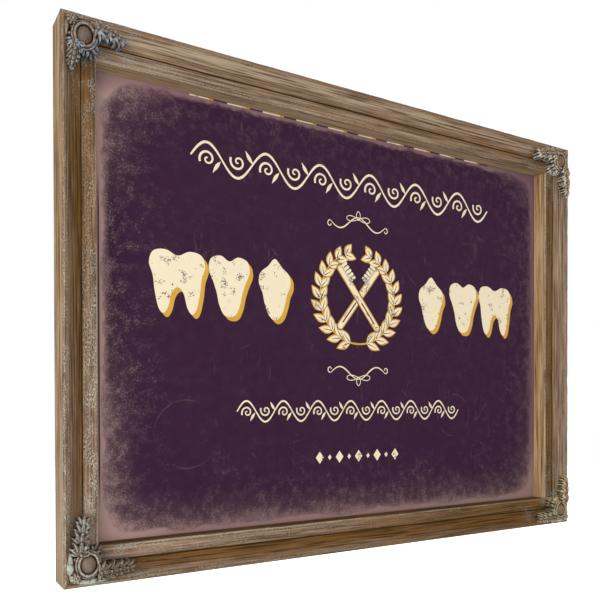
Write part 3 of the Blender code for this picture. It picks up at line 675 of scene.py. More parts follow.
def moulding_bands(wood):
    """The moulding's closed profile as named stretches of (across, down) points, from the back's edge."""
    lip = (wood.lip_radius, wood.lip_radius)
    sight = (RAIL_WIDTH - wood.sight_radius, wood.liner_depth + wood.sight_radius)
    floor = wood.scoop_depth + wood.groove_depth
    groove_end = wood.scoop_width + wood.groove_width
    shoulder = RAIL_DEPTH - wood.rebate_depth
    back_width = RAIL_WIDTH - wood.rebate_width
    round_over = 0.0004
    return [
        ("side", line((0.0, RAIL_DEPTH - wood.back_ease), (0.0, wood.lip_radius), 14)),
        ("lip", arc(lip, wood.lip_radius, 180, 270, 7)),
        ("scoop", scoop_points(wood, 18)),
        ("groove", line((wood.scoop_width + 0.0001, floor), (groove_end - 0.0001, floor), 2)),
        ("liner", line((groove_end, wood.liner_depth + round_over / 2), (sight[0], wood.liner_depth), 10)),
        ("sight", arc(sight, wood.sight_radius, 270, 360, 6)),
        ("reveal", line((RAIL_WIDTH, sight[1]), (RAIL_WIDTH, shoulder), 8)),
        ("back", line((back_width, shoulder), (back_width, RAIL_DEPTH), 2)),
        ("back", line((back_width, RAIL_DEPTH), (wood.back_ease, RAIL_DEPTH), 6)),
    ]


class Tones(NamedTuple):
    """How one rail's finish is laid: its glaze by place, which also carries painted shade and, below 0,
    painted light, and its wear.
    """

    scoop: float
    liner: float
    reveal: float
    flaking: float
    # painted light and shade: pales the middle of the scoop and darkens the lip
    light_and_shade: float
    drift: float  # how much more glaze the local +X end gets than the other end


# A scoop with more glaze than this gets painted deep shade, its lip too
DEEP_SHADE_FROM = 1.05


def band_finish(band, share, tones):
    """(glaze with painted shade and light, wear, raw) of a point of a band, where share runs from 0 at its
    start to 1.
    """
    deep_shade = 1.6 * max(0.0, tones.scoop - DEEP_SHADE_FROM)
    if band == "side":
        return 0.10, 0.30 * max(0.0, share * 6 - 5), 1.0
    if band == "lip":
        # Painted shade on the lip, from the rail's deep shade and from its painted light and shade
        glaze_and_shade = 0.55 * (1 - share) + 0.5 * tones.light_and_shade + deep_shade
        return glaze_and_shade, tones.flaking * (0.5 + 0.5 * share), 0.6 * (1 - share)
    if band == "scoop":
        glaze_and_shade = max(deep_shade, tones.scoop * max(0.0, (share - 0.14) / 0.86) ** 0.6)
        # Painted light and shade: the scoop is darkened next to its lip and paled in its middle
        pale = 0.9 * max(0.0, 1 - share / 0.15) - math.sin(math.pi * min(1.0, share * 1.15))
        return glaze_and_shade + tones.light_and_shade * pale, tones.flaking * max(0.0, 1.3 - share * 3.2), 0.0
    if band == "groove":
        return 1.6, 0.0, 0.0
    if band == "liner":
        return tones.liner + max(0.0, 0.4 - share * 2.5), tones.flaking * (0.45 + 0.55 * share), 0.0
    if band == "sight":
        # Partly rubbed wear, partly a painted highlight: a glaze below 0 pales the sight edge, except on the
        # top rail
        glaze_and_shade = 0.0 if tones.reveal < 0 else -0.6
        return glaze_and_shade, (0.6 + 0.4 * tones.flaking) * (1.0 - 0.3 * share), 0.0
    if band == "reveal":
        # Painted light: a raw share above 1 makes the top and right reveals honey-coloured
        raw = 1.5 if tones.reveal < 0.2 else 0.25
        return tones.reveal * (0.75 + 0.25 * share), max(0.0, 0.3 - share * 3), raw
    return 0.1, 0.1, 1.0


def rail_profile(wood, tones):
    """Points of the whole profile with their finish and their place along its girth."""
    profile = []
    girth = 0.0
    for band, points in moulding_bands(wood):
        for i, point in enumerate(points):
            if profile:
                step = (Vector(point) - Vector(profile[-1][0])).length
                if step < 1e-6:
                    continue
                girth += step
            profile.append((point, band, band_finish(band, i / (len(points) - 1), tones), girth))
    return profile


def worn_depth(band, along, across, seed, wood):
    """How far the surface has worn back at a place of the show side."""
    broad = noise.noise(Vector((along * 45, across * 60, seed)))
    fine = noise.noise(Vector((along * 190, across * 220, seed + 7)))
    chip = max(0.0, noise.noise(Vector((along * 75, across * 40, seed + 13))) - 0.18)
    if band == "lip":
        return wood.edge_wear * (0.25 + 0.35 * broad + 0.25 * fine + 1.1 * chip)
    if band == "sight":
        return wood.edge_wear * (0.35 + 0.4 * broad + 0.45 * fine + 1.3 * chip)
    if band in ("scoop", "liner"):
        return wood.edge_wear * (0.16 + 0.20 * broad + 0.10 * fine)
    return 0.0


def sweep_profile(bm, profile, length, wood):
    """Sweeps the profile along X in stations and cuts both ends to the mitre."""
    verts = [bm.verts.new((0, down, across)) for (across, down), _, _, _ in profile]
    edges = [bm.edges.new((a, b)) for a, b in zip(verts, verts[1:] + verts[:1])]
    steps = round(length / wood.station)
    bmesh.ops.spin(
        bm,
        geom=verts + edges,
        cent=(0, 0, 0),
        axis=(0, 0, 1),
        dvec=(1 / steps, 0, 0),
        angle=0.0,
        steps=steps,
    )
    ends = [e for e in bm.edges if e.is_boundary]
    bmesh.ops.holes_fill(bm, edges=ends, sides=0)
    reach = length / 2 - wood.mitre_gap / math.sqrt(2)
    for vert in bm.verts:
        vert.co.x = (2 * vert.co.x - 1) * (reach - vert.co.z)
    bmesh.ops.recalc_face_normals(bm, faces=bm.faces)


# How much of the drift along a rail each band follows
DRIFT_SHARES = {"lip": 0.3, "scoop": 0.5, "liner": 1.0, "sight": 1.0}
PATINA_BANDS = ("lip", "scoop", "groove", "liner", "sight")
PATINA_REACH = 0.095
MOST_GLAZE_AND_SHADE = 1.12


def rail_wood(name, length, location, turn, tones, seed):
    """A dressed rail: the moulding with worn lips, and its finish told point by point."""
    wood = settings("sign_wood")
    profile = rail_profile(wood, tones)
    bm = bmesh.new()
    sweep_profile(bm, profile, length, wood)
    known = {(round(down, 6), round(across, 6)): i for i, ((across, down), _, _, _) in enumerate(profile)}
    uv_layer = bm.loops.layers.uv.new("UVMap")
    finish_layer = bm.verts.layers.float_color.new("finish")
    last = len(profile) - 1
    total = profile[-1][3] + 0.001
    places = {v: known[(round(v.co.y, 6), round(v.co.z, 6))] for v in bm.verts}
    for face in bm.faces:
        indices = [places[v] for v in face.verts]
        wraps = 0 in indices and last in indices
        for loop in face.loops:
            index = places[loop.vert]
            girth = total if wraps and index == 0 else profile[index][3]
            loop[uv_layer].uv = (loop.vert.co.x + 1.7 * seed, girth + 0.31 * seed)
    bm.normal_update()
    shifts = []
    for vert in bm.verts:
        (across, down), band, (glaze_and_shade, wear, raw), girth = profile[places[vert]]
        corner = length / 2 - abs(vert.co.x)
        near = max(0.0, 1.0 - corner / PATINA_REACH) if band in PATINA_BANDS else 0.0
        drift = tones.drift * vert.co.x / length
        if band in DRIFT_SHARES:
            glaze_and_shade = min(MOST_GLAZE_AND_SHADE, glaze_and_shade + drift * DRIFT_SHARES[band])
        elif band == "side":
            glaze_and_shade += 2.5 * min(0.0, drift)
        wear = min(1.0, wear * max(0.0, 1.0 - 1.5 * drift))
        vert[finish_layer] = (glaze_and_shade, wear, raw, min(1.0, 1.5 * near))
        depth = max(0.0, worn_depth(band, vert.co.x, girth, seed, wood))
        shifts.append((vert, vert.normal.copy(), depth))
    for vert, normal, depth in shifts:
        vert.co.y += depth * abs(normal.y)
        vert.co.z -= depth * normal.z
    place = Matrix.Translation(location) @ Matrix.Rotation(turn, 4, "Y")
    bmesh.ops.transform(bm, matrix=place, verts=bm.verts)
    return new_item(name, mesh_from(bm, name))


# The drift moves the glaze of lip, scoop, liner and sight edge, the paleness of the side, and all wear
# Painted shade and light, rail by rail: heavy glaze darkens the bottom and left scoops, the bottom reveal and
# the right liner, and the top and right scoops and the top reveal are paler
RAIL_TONES = {
    "bottom_rail": Tones(1.35, 0.50, 1.10, 0.30, 0.0, 1.30),
    "top_rail": Tones(0.35, 0.16, -0.70, 0.20, 0.80, -0.70),
    "left_rail": Tones(0.90, 0.46, 0.40, 1.00, 0.0, -1.00),
    "right_rail": Tones(0.20, 1.12, 0.02, 0.25, 0.20, 0.0),
}


class SIGN_OT_rails(bpy.types.Operator):
    """Make the four weathered rails"""

    bl_idname = "sign.rails"
    bl_label = "Rails"

    def execute(self, context):
        width, height = 2 * HALF_WIDTH, 2 * HALF_HEIGHT
        rails = (
            ("bottom_rail", width, (0, FRONT_Y, BOTTOM_LOW.z), 0.0),
            ("top_rail", width, (0, FRONT_Y, TOP_HIGH.z), math.pi),
            ("left_rail", height, (LEFT_LOW.x, FRONT_Y, MIDDLE_Z), math.pi / 2),
            ("right_rail", height, (RIGHT_HIGH.x, FRONT_Y, MIDDLE_Z), -math.pi / 2),
        )
        for seed, (node, length, location, turn) in enumerate(rails):
            item = rail_wood(node + "_wood", length, location, turn, RAIL_TONES[node], seed)
            seat(item, "weathered_wood", replaced=(node,))
        return {"FINISHED"}


def add_template(bm, template):
    """Adds a copy of a template mesh and gives its new vertices."""
    count = len(bm.verts)
    bm.from_mesh(template)
    bm.verts.ensure_lookup_table()
    return bm.verts[count:]


def ball_template(subdivisions):
    """A unit icosphere, made the first time that it is asked for."""
    name = f"ball_{subdivisions}"
    if name not in bpy.data.meshes:
        stock = bmesh.new()
        bmesh.ops.create_icosphere(stock, subdivisions=subdivisions, radius=1.0)
        mesh = bpy.data.meshes.new(name)
        stock.to_mesh(mesh)
        stock.free()
    return bpy.data.meshes[name]


def add_ball(bm, centre, radius, subdivisions=2):
    """A bead at (u, w, height)."""
    for vert in add_template(bm, ball_template(subdivisions)):
        vert.co = vert.co * radius + Vector(centre)


# How round a leaf's top is, and how deep it goes below to reach its seat
LEAF_ROUNDING, LEAF_DEPTH = 0.0022, 0.012


def add_leaf(bm, root, heading, length, width, crest, curl=0.0, vein=0.35, tip_drop=0.0025):
    """A pointed lobe from root, swelling to its belly, veined on top and deep below to reach its seat."""
    spin = Matrix.Rotation(heading, 3, "Z")
    for vert in add_template(bm, ball_template(4)):
        along, across, up = vert.co
        share = (along + 1) / 2
        swell = math.sin(math.pi * min(1.0, share ** 0.82)) ** 0.72 if 0 < share < 1 else 0.0
        swell = swell * (1.0 - 0.30 * share)
        side = across * width * (0.18 + 1.05 * swell)
        lift = crest - tip_drop * share ** 1.6
        if up > 0:
            groove = vein * math.exp(-((across / 0.22) ** 2)) * (1 - share)
            lift = lift - LEAF_ROUNDING * (1 - up) - LEAF_ROUNDING * groove
        else:
            lift = lift - LEAF_ROUNDING + LEAF_DEPTH * up
        flat = Vector((share * length, side + curl * share ** 2 * length, 0))
        flat.rotate(spin)
        vert.co = (root[0] + flat.x, root[1] + flat.y, lift)


def full_turn(bm, points, closed, axis, steps):
    """Turns a profile once about an axis through the origin."""
    verts = [bm.verts.new(point) for point in points]
    following = verts[1:] + verts[:1] if closed else verts[1:]
    edges = [bm.edges.new(pair) for pair in zip(verts, following)]
    bmesh.ops.spin(
        bm, geom=verts + edges, cent=(0, 0, 0), axis=axis, angle=2 * math.pi, steps=steps, use_merge=True
    )


def add_ring(bm, centre, half_sizes, wall, crest):
    """An oval ring with a round top."""
    stock = bmesh.new()
    angles = [2 * math.pi * i / 12 for i in range(12)]
    section = [(1.0 + wall * math.cos(angle), 0, wall * math.sin(angle)) for angle in angles]
    full_turn(stock, section, True, (0, 0, 1), 64)
    bmesh.ops.remove_doubles(stock, verts=stock.verts, dist=1e-5)
    mean = sum(half_sizes) / 2
    bmesh.ops.scale(stock, vec=(half_sizes[0], half_sizes[1], mean), verts=stock.verts)
    for vert in stock.verts:
        if vert.co.z < 0:
            vert.co.z *= 5.0
    bmesh.ops.translate(stock, vec=(centre[0], centre[1], crest - wall * mean), verts=stock.verts)
    bmesh.ops.recalc_face_normals(stock, faces=stock.faces)
    add_stock(bm, stock)


def add_stock(bm, stock):
    mesh = bpy.data.meshes.new("stock")
    stock.to_mesh(mesh)
    stock.free()
    bm.from_mesh(mesh)
    bpy.data.meshes.remove(mesh)


def add_boss(bm, centre, half_sizes, crest, depth):
    """A smooth oval boss that reaches down to its seat."""
    for vert in add_template(bm, ball_template(4)):
        height = vert.co.z * (crest if vert.co.z > 0 else depth)
        vert.co = (centre[0] + vert.co.x * half_sizes[0], centre[1] + vert.co.y * half_sizes[1], height)


def add_volute(bm, centre, radius, start, turns, crest, thick):
    """A scroll: beads that shrink along a spiral."""
    count = int(26 * turns)
    for i in range(count):
        share = i / (count - 1)
        angle = start + 2 * math.pi * turns * share
        out = radius * (1 - 0.82 * share)
        size = thick * (1 - 0.35 * share)
        add_ball(bm, (*on_circle(centre, out, angle), crest - size + 0.0010 * share), size)


# Leaves of a fan: angle to both sides of its middle, and shares of its length, breadth and curl
FAN_LEAVES = ((0, 1.0, 1.0, 0.0), (24, 0.90, 0.95, 0.10), (48, 0.74, 0.88, 0.18), (74, 0.54, 0.80, 0.26))
# Lengths of the fans along a leg, from its root to its tip, and how far each covers the next
FAN_LENGTHS = (0.0152, 0.0138, 0.0124, 0.0110)
FAN_OVERLAP = 0.0054


def add_fan(bm, root, heading, length, crest, casting, flip):
    """A palmette: a long middle leaf and shorter ones that bend away on both sides."""
    for angle, reach, breadth, curl in FAN_LEAVES:
        for side in (1, -1) if angle else (1,):
            uneven = noise.noise(Vector((root[0] * 900, root[1] * 900, side * angle)))
            reach *= 1 + 0.16 * uneven
            drop = 0.0030 * (angle / 74) if side * flip < 0 else 0.0008 * (angle / 74)
            add_leaf(
                bm,
                root,
                heading + side * math.radians(angle),
                length * reach,
                casting.leaf_width * breadth * (0.50 + 0.45 * length / 0.015),
                crest - drop,
                curl=side * curl,
            )


def leg_path(casting, bend):
    """The line of a leg: how far it lies from the outer edge at each place along it."""
    reach, lean = bend

    def across(along):
        share = max(0.0, along - casting.leg_root) / (casting.leg_length - casting.leg_root)
        return casting.leg_across + lean * share ** 1.3

    return reach, across


def add_leg(bm, casting, upright, bend):
    """Stacked palmettes along one rail, with scrolls and beads where they meet."""
    reach, across = leg_path(casting, bend)
    base = math.pi / 2 if upright else 0.0
    flip = 1 if upright else -1

    def at(along, off=0.0):
        place = (along, across(along) + off)
        return place[::-1] if upright else place

    along = casting.leg_root
    for i, length in enumerate(FAN_LENGTHS):
        length *= reach
        share = i / (len(FAN_LENGTHS) - 1)
        crest = casting.leg_crest + (casting.leg_tip_crest - casting.leg_crest) * share
        slope = (across(along + length) - across(along)) / length
        heading = base - flip * slope
        add_fan(bm, at(along), heading, length, crest, casting, -flip)
        add_ball(bm, (*at(along + 0.0012), crest - 0.0006), 0.0013)
        for side in (1, -1):
            # One scroll per fan, toward the outer edge on a level leg and the opening on an upright one
            if side == flip:
                scroll = at(along + 0.0022, side * 0.0054 * (1 - 0.15 * i))
                size = 0.0028 * (1 - 0.16 * i)
                add_volute(bm, scroll, size, base + math.pi / 2, 1.1, crest - 0.0016, 0.0008)
            add_ball(bm, (*at(along + 0.0062, side * 0.0060 * (1 - 0.18 * i)), crest - 0.0030), 0.0008)
        along += length - FAN_OVERLAP
    add_boss(bm, at(casting.leg_root + 0.005), (0.0056, 0.0056), 0.0034, 0.012)
    middle = casting.leg_root + 0.016 * reach
    spread = (0.0034, 0.0165 * reach) if upright else (0.0165 * reach, 0.0034)
    add_boss(bm, at(middle), spread, 0.0018, 0.012)


COLLAR_LEAVES, PETALS = 16, 8
# Leaves at the inner corner: angle from the mitre, and length
INNER_LEAVES = ((0, 0.0125), (24, 0.0110), (-24, 0.0110), (48, 0.0092), (-48, 0.0092))


def add_centre(bm, casting, wood):
    """The oval boss in its rings, with a collar of small leaves and a flower at the outer corner."""
    centre = (wood.scoop_width, wood.scoop_width)
    inner = (casting.cabochon_width, casting.cabochon_height)
    add_boss(bm, centre, inner, casting.cabochon_crest, 0.013)
    wall = casting.bezel_width / 2
    middle = [half + 0.0005 + wall for half in inner]
    add_ring(bm, centre, middle, wall / (sum(middle) / 2), casting.bezel_crest)
    outer = [half + 0.0022 for half in middle]
    add_ring(bm, centre, outer, 0.0007 / (sum(outer) / 2), casting.bezel_crest - 0.0016)
    for i in range(COLLAR_LEAVES):
        angle = math.radians(45 + 22.5 * i)
        root = (centre[0] + 0.0078 * math.cos(angle), centre[1] + 0.0092 * math.sin(angle))
        add_leaf(bm, root, angle, 0.0078, 0.0016, 0.0018, curl=0.16 if i % 2 else -0.16)
    rosette = (casting.rosette_centre, casting.rosette_centre)
    for i in range(PETALS):
        angle = math.radians(45 * i + 22.5)
        reach = casting.rosette_radius * 0.62
        add_boss(bm, on_circle(rosette, reach, angle), (0.0018, 0.0018), 0.0038, 0.010)
    add_ball(bm, (*rosette, 0.0036), 0.0015, 3)
    add_ring(bm, rosette, (0.0023, 0.0023), 0.0005 / 0.0023, 0.0044)


def casting_stock(casting, wood, corner):
    """All lobes of one casting, as (u, w, height) from its corner."""
    bm = bmesh.new()
    add_centre(bm, casting, wood)
    for upright in (False, True):
        add_leg(bm, casting, upright, LEG_BENDS[corner][upright])
        start = math.pi / 2 if upright else 0.0
        if upright:
            add_volute(bm, (0.0140, 0.0290), 0.0040, start, 1.35, 0.0040, 0.0011)
        length, width = LIP_LEAVES[corner][upright]
        lip_leaf = (0.0034, 0.0060) if upright else (0.0060, 0.0034)
        add_leaf(bm, lip_leaf, start, length, width, 0.0022, vein=0.1, tip_drop=0.0010)
    root = (0.0240, 0.0240)
    for angle, length in INNER_LEAVES:
        heading = math.radians(45 + angle)
        add_leaf(bm, root, heading, length, 0.0017, -0.0020 - 0.0004 * abs(angle) / 24, tip_drop=0.0045)
    return bm


def vertex_places(mesh):
    """Places of a mesh's vertices, one row each."""
    places = np.empty(len(mesh.vertices) * 3)
    mesh.vertices.foreach_get("co", places)
    return places.reshape(-1, 3)


def store_colours(mesh, name, colours):
    layer = mesh.attributes.new(name, "FLOAT_COLOR", "POINT")
    layer.data.foreach_set("color", colours.astype(np.float32).ravel())


def smooth_places(mesh, passes):
    """Vertex places, and the same after some rounds of averaging with their neighbours."""
    count = len(mesh.vertices)
    places = vertex_places(mesh)
    ends = np.empty(len(mesh.edges) * 2, dtype=np.int64)
    mesh.edges.foreach_get("vertices", ends)
    first, second = ends.reshape(-1, 2).T
    both, others = np.concatenate((first, second)), np.concatenate((second, first))
    degree = np.maximum(np.bincount(both, minlength=count), 1)
    soft = places.copy()
    for _ in range(passes):
        sums = [np.bincount(both, weights=soft[others, axis], minlength=count) for axis in range(3)]
        soft = np.stack(sums, axis=1) / degree[:, None]
    return places, soft


# The patina that lies all over each casting
LEAST_DUST = {"top_left": 0.37, "top_right": 0.34, "bottom_left": 0.40, "bottom_right": 0.48}


def casting_dust(mesh, corner):
    """How much patina lies at each vertex, told from its (u, w, height) place in the casting."""
    u, w, _ = vertex_places(mesh).T
    least = LEAST_DUST[corner]
    inner = np.clip((np.minimum(u, w) - 0.0095) / 0.005, 0, 1)
    boss = np.clip((1.3 - np.hypot((u - 0.0183) / 0.0075, (w - 0.0183) / 0.0089)) / 0.3, 0, 1)
    if "top" in corner:
        tips = np.clip((np.maximum(u, w) - 0.052) / 0.006, 0, 1)
        root = np.clip(1.5 - abs(w - 0.027) / 0.004, 0, 1) * (u < 0.014) if corner == "top_left" else 0.0
        return np.clip(least + 0.19 * inner + 0.08 * tips + 0.16 * root - 0.25 * boss, 0, 1)
    edges = np.clip((0.0062 - np.minimum(u, w)) / 0.002, 0, 1)
    return np.clip(least + 0.08 * inner + 0.22 * edges - 0.20 * boss, 0, 1)


# How much each casting's middle, level leg and upright leg are darkened or paled, as shares of red,
# green and blue
CASTING_TINTS = {
    "top_left": ((0.70, 0.68, 0.72), (0.80, 0.80, 0.84), (0.66, 0.74, 0.82)),
    "top_right": ((0.90, 0.80, 0.66), (1.15, 1.12, 1.00), (1.35, 1.32, 1.18)),
    "bottom_left": ((1.00, 1.06, 1.10), (0.58, 0.56, 0.52), (0.80, 0.89, 1.00)),
    "bottom_right": ((1.04, 1.02, 0.80), (0.82, 0.74, 0.55), (1.30, 1.12, 0.82)),
}
# Where the legs' own tint starts along them, and how far it takes to blend in
LEG_START, LEG_BLEND = 0.024, 0.008


def store_casting_tint(mesh, corner):
    """Stores the share of its colour that each vertex is given, told from its (u, w, height) place."""
    u, w, _ = vertex_places(mesh).T
    middle, level, upright = (np.array(age) for age in CASTING_TINTS[corner])
    on_level = np.clip((u - LEG_START) / LEG_BLEND, 0, 1)[:, None]
    on_upright = np.clip((w - LEG_START) / LEG_BLEND, 0, 1)[:, None] * (1 - on_level)
    casting_tints = middle + (level - middle) * on_level + (upright - middle) * on_upright
    store_colours(mesh, "age", np.concatenate((casting_tints, np.ones((len(casting_tints), 1))), axis=1))


# Rounds of averaging that a vertex is held against, and the height over them that counts as a crest
RELIEF_PASSES, FULL_RELIEF = 12, 0.00034
# How chalky a casting's patina is, where it has dried out
CHALKY = {"top_right": 0.65}


def store_relief(mesh, dust, chalky):
    """Stores each vertex's relief, from 0 in crevices to 1 on crests, with its patina and chalkiness."""
    places, soft = smooth_places(mesh, RELIEF_PASSES)
    normals = np.empty(len(mesh.vertices) * 3)
    mesh.vertex_normals.foreach_get("vector", normals)
    relief = np.sum((places - soft) * normals.reshape(-1, 3), axis=1) / FULL_RELIEF
    shares = np.clip(0.5 + 0.5 * relief, 0, 1)
    colours = np.stack((shares, dust, np.full_like(dust, chalky), np.ones_like(dust)), axis=1)
    store_colours(mesh, "relief", colours)


def fused(bm, name, voxel):
    """One skin over all the overlapping lobes."""
    bmesh.ops.recalc_face_normals(bm, faces=bm.faces)
    mesh = bpy.data.meshes.new(name)
    bm.to_mesh(mesh)
    bm.free()
    item = new_item(name, mesh)
    remesh = item.modifiers.new("fuse", "REMESH")
    remesh.mode = "VOXEL"
    remesh.voxel_size = voxel
    soften = item.modifiers.new("soften", "SMOOTH")
    soften.factor = 0.5
    soften.iterations = 2
    result = evaluated_mesh(item)
    item.modifiers.clear()
    item.data = result
    result.name = name
    return item


# How each casting was set by hand: its shifts in from the side and the end, and its turn in degrees
CASTING_SETS = {
    "top_left": (0.0022, 0.0004, 3.5),
    "top_right": (0.0022, 0.0004, -3.5),
    "bottom_left": (0.0022, 0.0020, 0.0),
    "bottom_right": (0.0004, 0.0004, 0.0),
}


def casting_place(corner):
    """Matrix from a corner's (u, w, height) to the sign, with the turn and shift it was set with."""
    side_x, side_z = CORNERS[corner]
    shift_x, shift_z, turn = CASTING_SETS[corner]
    swap = Matrix(((1, 0, 0, 0), (0, 0, -1, 0), (0, 1, 0, 0), (0, 0, 0, 1)))
    flip = Matrix.Diagonal((-side_x, 1, -side_z, 1))
    spin = Matrix.Rotation(math.radians(turn), 4, "Y")
    corner_x, corner_z = side_x * HALF_WIDTH, MIDDLE_Z + side_z * HALF_HEIGHT
    move = Matrix.Translation((corner_x - side_x * shift_x, FRONT_Y, corner_z - side_z * shift_z))
    return move @ spin @ flip @ swap


# How far a casting's underside may reach below the moulding's face, and stays off its outer faces
CASTING_SINK, OUTER_CLEARANCE = 0.0006, 0.0003


def settle_casting(mesh, corner, wood, front_limit):
    """Presses the casting's underside onto the moulding and keeps it inside the frame's outer faces."""
    side_x, side_z = CORNERS[corner]
    places = vertex_places(mesh)
    u = HALF_WIDTH - side_x * places[:, 0]
    w = HALF_HEIGHT - side_z * (places[:, 2] - MIDDLE_Z)
    across = np.minimum(u, w)
    slope = wood.scoop_depth / (wood.scoop_width - wood.lip_radius)
    floor = np.where(across < wood.scoop_width, slope * (across - wood.lip_radius), wood.liner_depth)
    deepest = FRONT_Y + np.maximum(floor, 0.0) + CASTING_SINK
    places[:, 1] = np.clip(places[:, 1], front_limit, np.maximum(deepest, front_limit))
    places[:, 0] = side_x * (HALF_WIDTH - np.maximum(u, OUTER_CLEARANCE))
    places[:, 2] = MIDDLE_Z + side_z * (HALF_HEIGHT - np.maximum(w, OUTER_CLEARANCE))
    mesh.vertices.foreach_set("co", places.ravel())
    mesh.update()


# How each casting's level and upright legs were bent: reach, and drift across the rail at the tip
LEG_BENDS = {
    "top_left": ((0.86, 0.0030), (0.72, -0.0030)),
    "top_right": ((1.00, 0.0015), (1.02, -0.0050)),
    "bottom_left": ((0.98, 0.0020), (0.98, 0.0050)),
    "bottom_right": ((0.94, -0.0020), (1.00, -0.0060)),
}
# Length and half width of the smooth leaves on the level and the upright lip
LIP_LEAVES = {
    "top_left": ((0.0180, 0.0016), (0.0160, 0.0018)),
    "top_right": ((0.0180, 0.0016), (0.0180, 0.0016)),
    "bottom_left": ((0.0340, 0.0028), (0.0240, 0.0030)),
    "bottom_right": ((0.0240, 0.0020), (0.0180, 0.0018)),
}


class SIGN_OT_castings(bpy.types.Operator):
    """Make the four cast corner ornaments"""

    bl_idname = "sign.castings"
    bl_label = "Corner castings"

    def execute(self, context):
        casting, wood = settings("sign_casting"), settings("sign_wood")
        for corner in CORNERS:
            node = "corner_ornament_" + corner
            low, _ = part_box(node)
            item = fused(casting_stock(casting, wood, corner), "corner_casting_" + corner, casting.voxel)
            dust = casting_dust(item.data, corner)
            store_casting_tint(item.data, corner)
            place = casting_place(corner)
            item.data.transform(place)
            if place.determinant() < 0:
                item.data.flip_normals()
            store_relief(item.data, dust, CHALKY.get(corner, 0.0))
            settle_casting(item.data, corner, wood, low.y)
            item.data.shade_smooth()
            seat(item, "upper_casting" if "top" in corner else "lower_casting", replaced=(node,))
        return {"FINISHED"}


class SIGN_OT_board(bpy.types.Operator):
    """Finish the printed board and the backing board"""

    bl_idname = "sign.board"
    bl_label = "Boards"

    def execute(self, context):
        dress_node("sign_panel", "worn_print")
        dress_node("backing_board", "pressed_hardboard")
        return {"FINISHED"}


def smooth_outline(anchors, steps=6):
    """A closed outline through its anchors, rounded between them."""
    count = len(anchors)
    points = []
    for i in range(count):
        p0, p1, p2, p3 = (Vector(anchors[(i + k) % count]) for k in (-1, 0, 1, 2))
        for k in range(steps):
            t = k / steps
            square = (2 * p0 - 5 * p1 + 4 * p2 - p3) * t**2
            cube = (3 * p1 - p0 - 3 * p2 + p3) * t**3
            points.append(tuple(0.5 * (2 * p1 + (p2 - p0) * t + square + cube)))
    return points


def mirrored(half):
    """A whole outline from its right half, listed from the top middle down to the bottom middle."""
    return half + [(-x, z) for x, z in reversed(half[1:-1])]


# The right half of each kind of tooth, from the top middle down, as shares of its height
TEETH = {
    "molar": [(0.0, 0.42), (0.20, 0.50), (0.40, 0.46), (0.47, 0.28), (0.41, 0.08), (0.38, -0.16),
              (0.32, -0.42), (0.24, -0.50), (0.16, -0.40), (0.10, -0.18), (0.0, -0.08)],
    "premolar": [(0.0, 0.42), (0.16, 0.50), (0.33, 0.44), (0.37, 0.26), (0.29, 0.06), (0.23, -0.12),
                 (0.19, -0.30), (0.11, -0.46), (0.0, -0.50)],
    "canine": [(0.0, 0.55), (0.13, 0.42), (0.28, 0.29), (0.31, 0.12), (0.24, -0.05), (0.20, -0.22),
               (0.12, -0.42), (0.0, -0.50)],
}
# Kind of each tooth and its distance right of the wreath's middle
TOOTH_ROW = (
    ("molar", -0.2180),
    ("premolar", -0.1620),
    ("canine", -0.1090),
    ("canine", 0.1090),
    ("premolar", 0.1620),
    ("molar", 0.2180),
)


def plate(bm, outline, layer):
    """A thin flat shape on the print, whose back is that many ink layers in front of the board."""
    ink = settings("sign_print").ink
    back = PRINT_Y - layer * ink
    face = bm.faces.new([bm.verts.new((x, back - ink, z)) for x, z in outline])
    made = bmesh.ops.extrude_face_region(bm, geom=[face])["geom"]
    verts = [v for v in made if isinstance(v, bmesh.types.BMVert)]
    bmesh.ops.translate(bm, vec=(0, ink * 0.9, 0), verts=verts)
    return verts


def throw_shade(bm, direction):
    """Pulls the sides that face the throw outward, so a plate becomes its own block shade."""
    bm.normal_update()
    push = Vector((direction[0], 0, direction[1]))
    sides = [f for f in bm.faces if abs(f.normal.y) < 0.5 and f.normal.dot(push) > 0]
    made = bmesh.ops.extrude_face_region(bm, geom=sides)["geom"]
    bmesh.ops.translate(bm, vec=push, verts=[v for v in made if isinstance(v, bmesh.types.BMVert)])


def print_piece(name, bm, finish_name):
    """Adds a printed shape, triangulated so that its flat faces stay true."""
    bmesh.ops.recalc_face_normals(bm, faces=bm.faces)
    bmesh.ops.triangulate(bm, faces=bm.faces)
    seat(new_item(name, mesh_from(bm, name, 20.0)), finish_name)


class SIGN_OT_tooth_row(bpy.types.Operator):
    """Print the plain teeth on both sides of the wreath, with their gold shade"""

    bl_idname = "sign.tooth_row"
    bl_label = "Row of teeth"

    def execute(self, context):
        ink = settings("sign_print")
        for i, (kind, off) in enumerate(TOOTH_ROW):
            x = ink.centre + off
            z = MIDDLE_Z + ink.row_rise
            shape = smooth_outline(mirrored(TEETH[kind]))
            outline = [(x + px * ink.tooth_height, z + pz * ink.tooth_height) for px, pz in shape]
            gold = bmesh.new()
            plate(gold, outline, 0)
            bmesh.ops.recalc_face_normals(gold, faces=gold.faces)
            throw_shade(gold, (ink.shade, -ink.shade))
            print_piece(f"tooth_shade_{i + 1}", gold, "gold_ink")
            cream = bmesh.new()
            plate(cream, outline, 1)
            print_piece(f"tooth_{i + 1}", cream, "cream_ink")
        return {"FINISHED"}


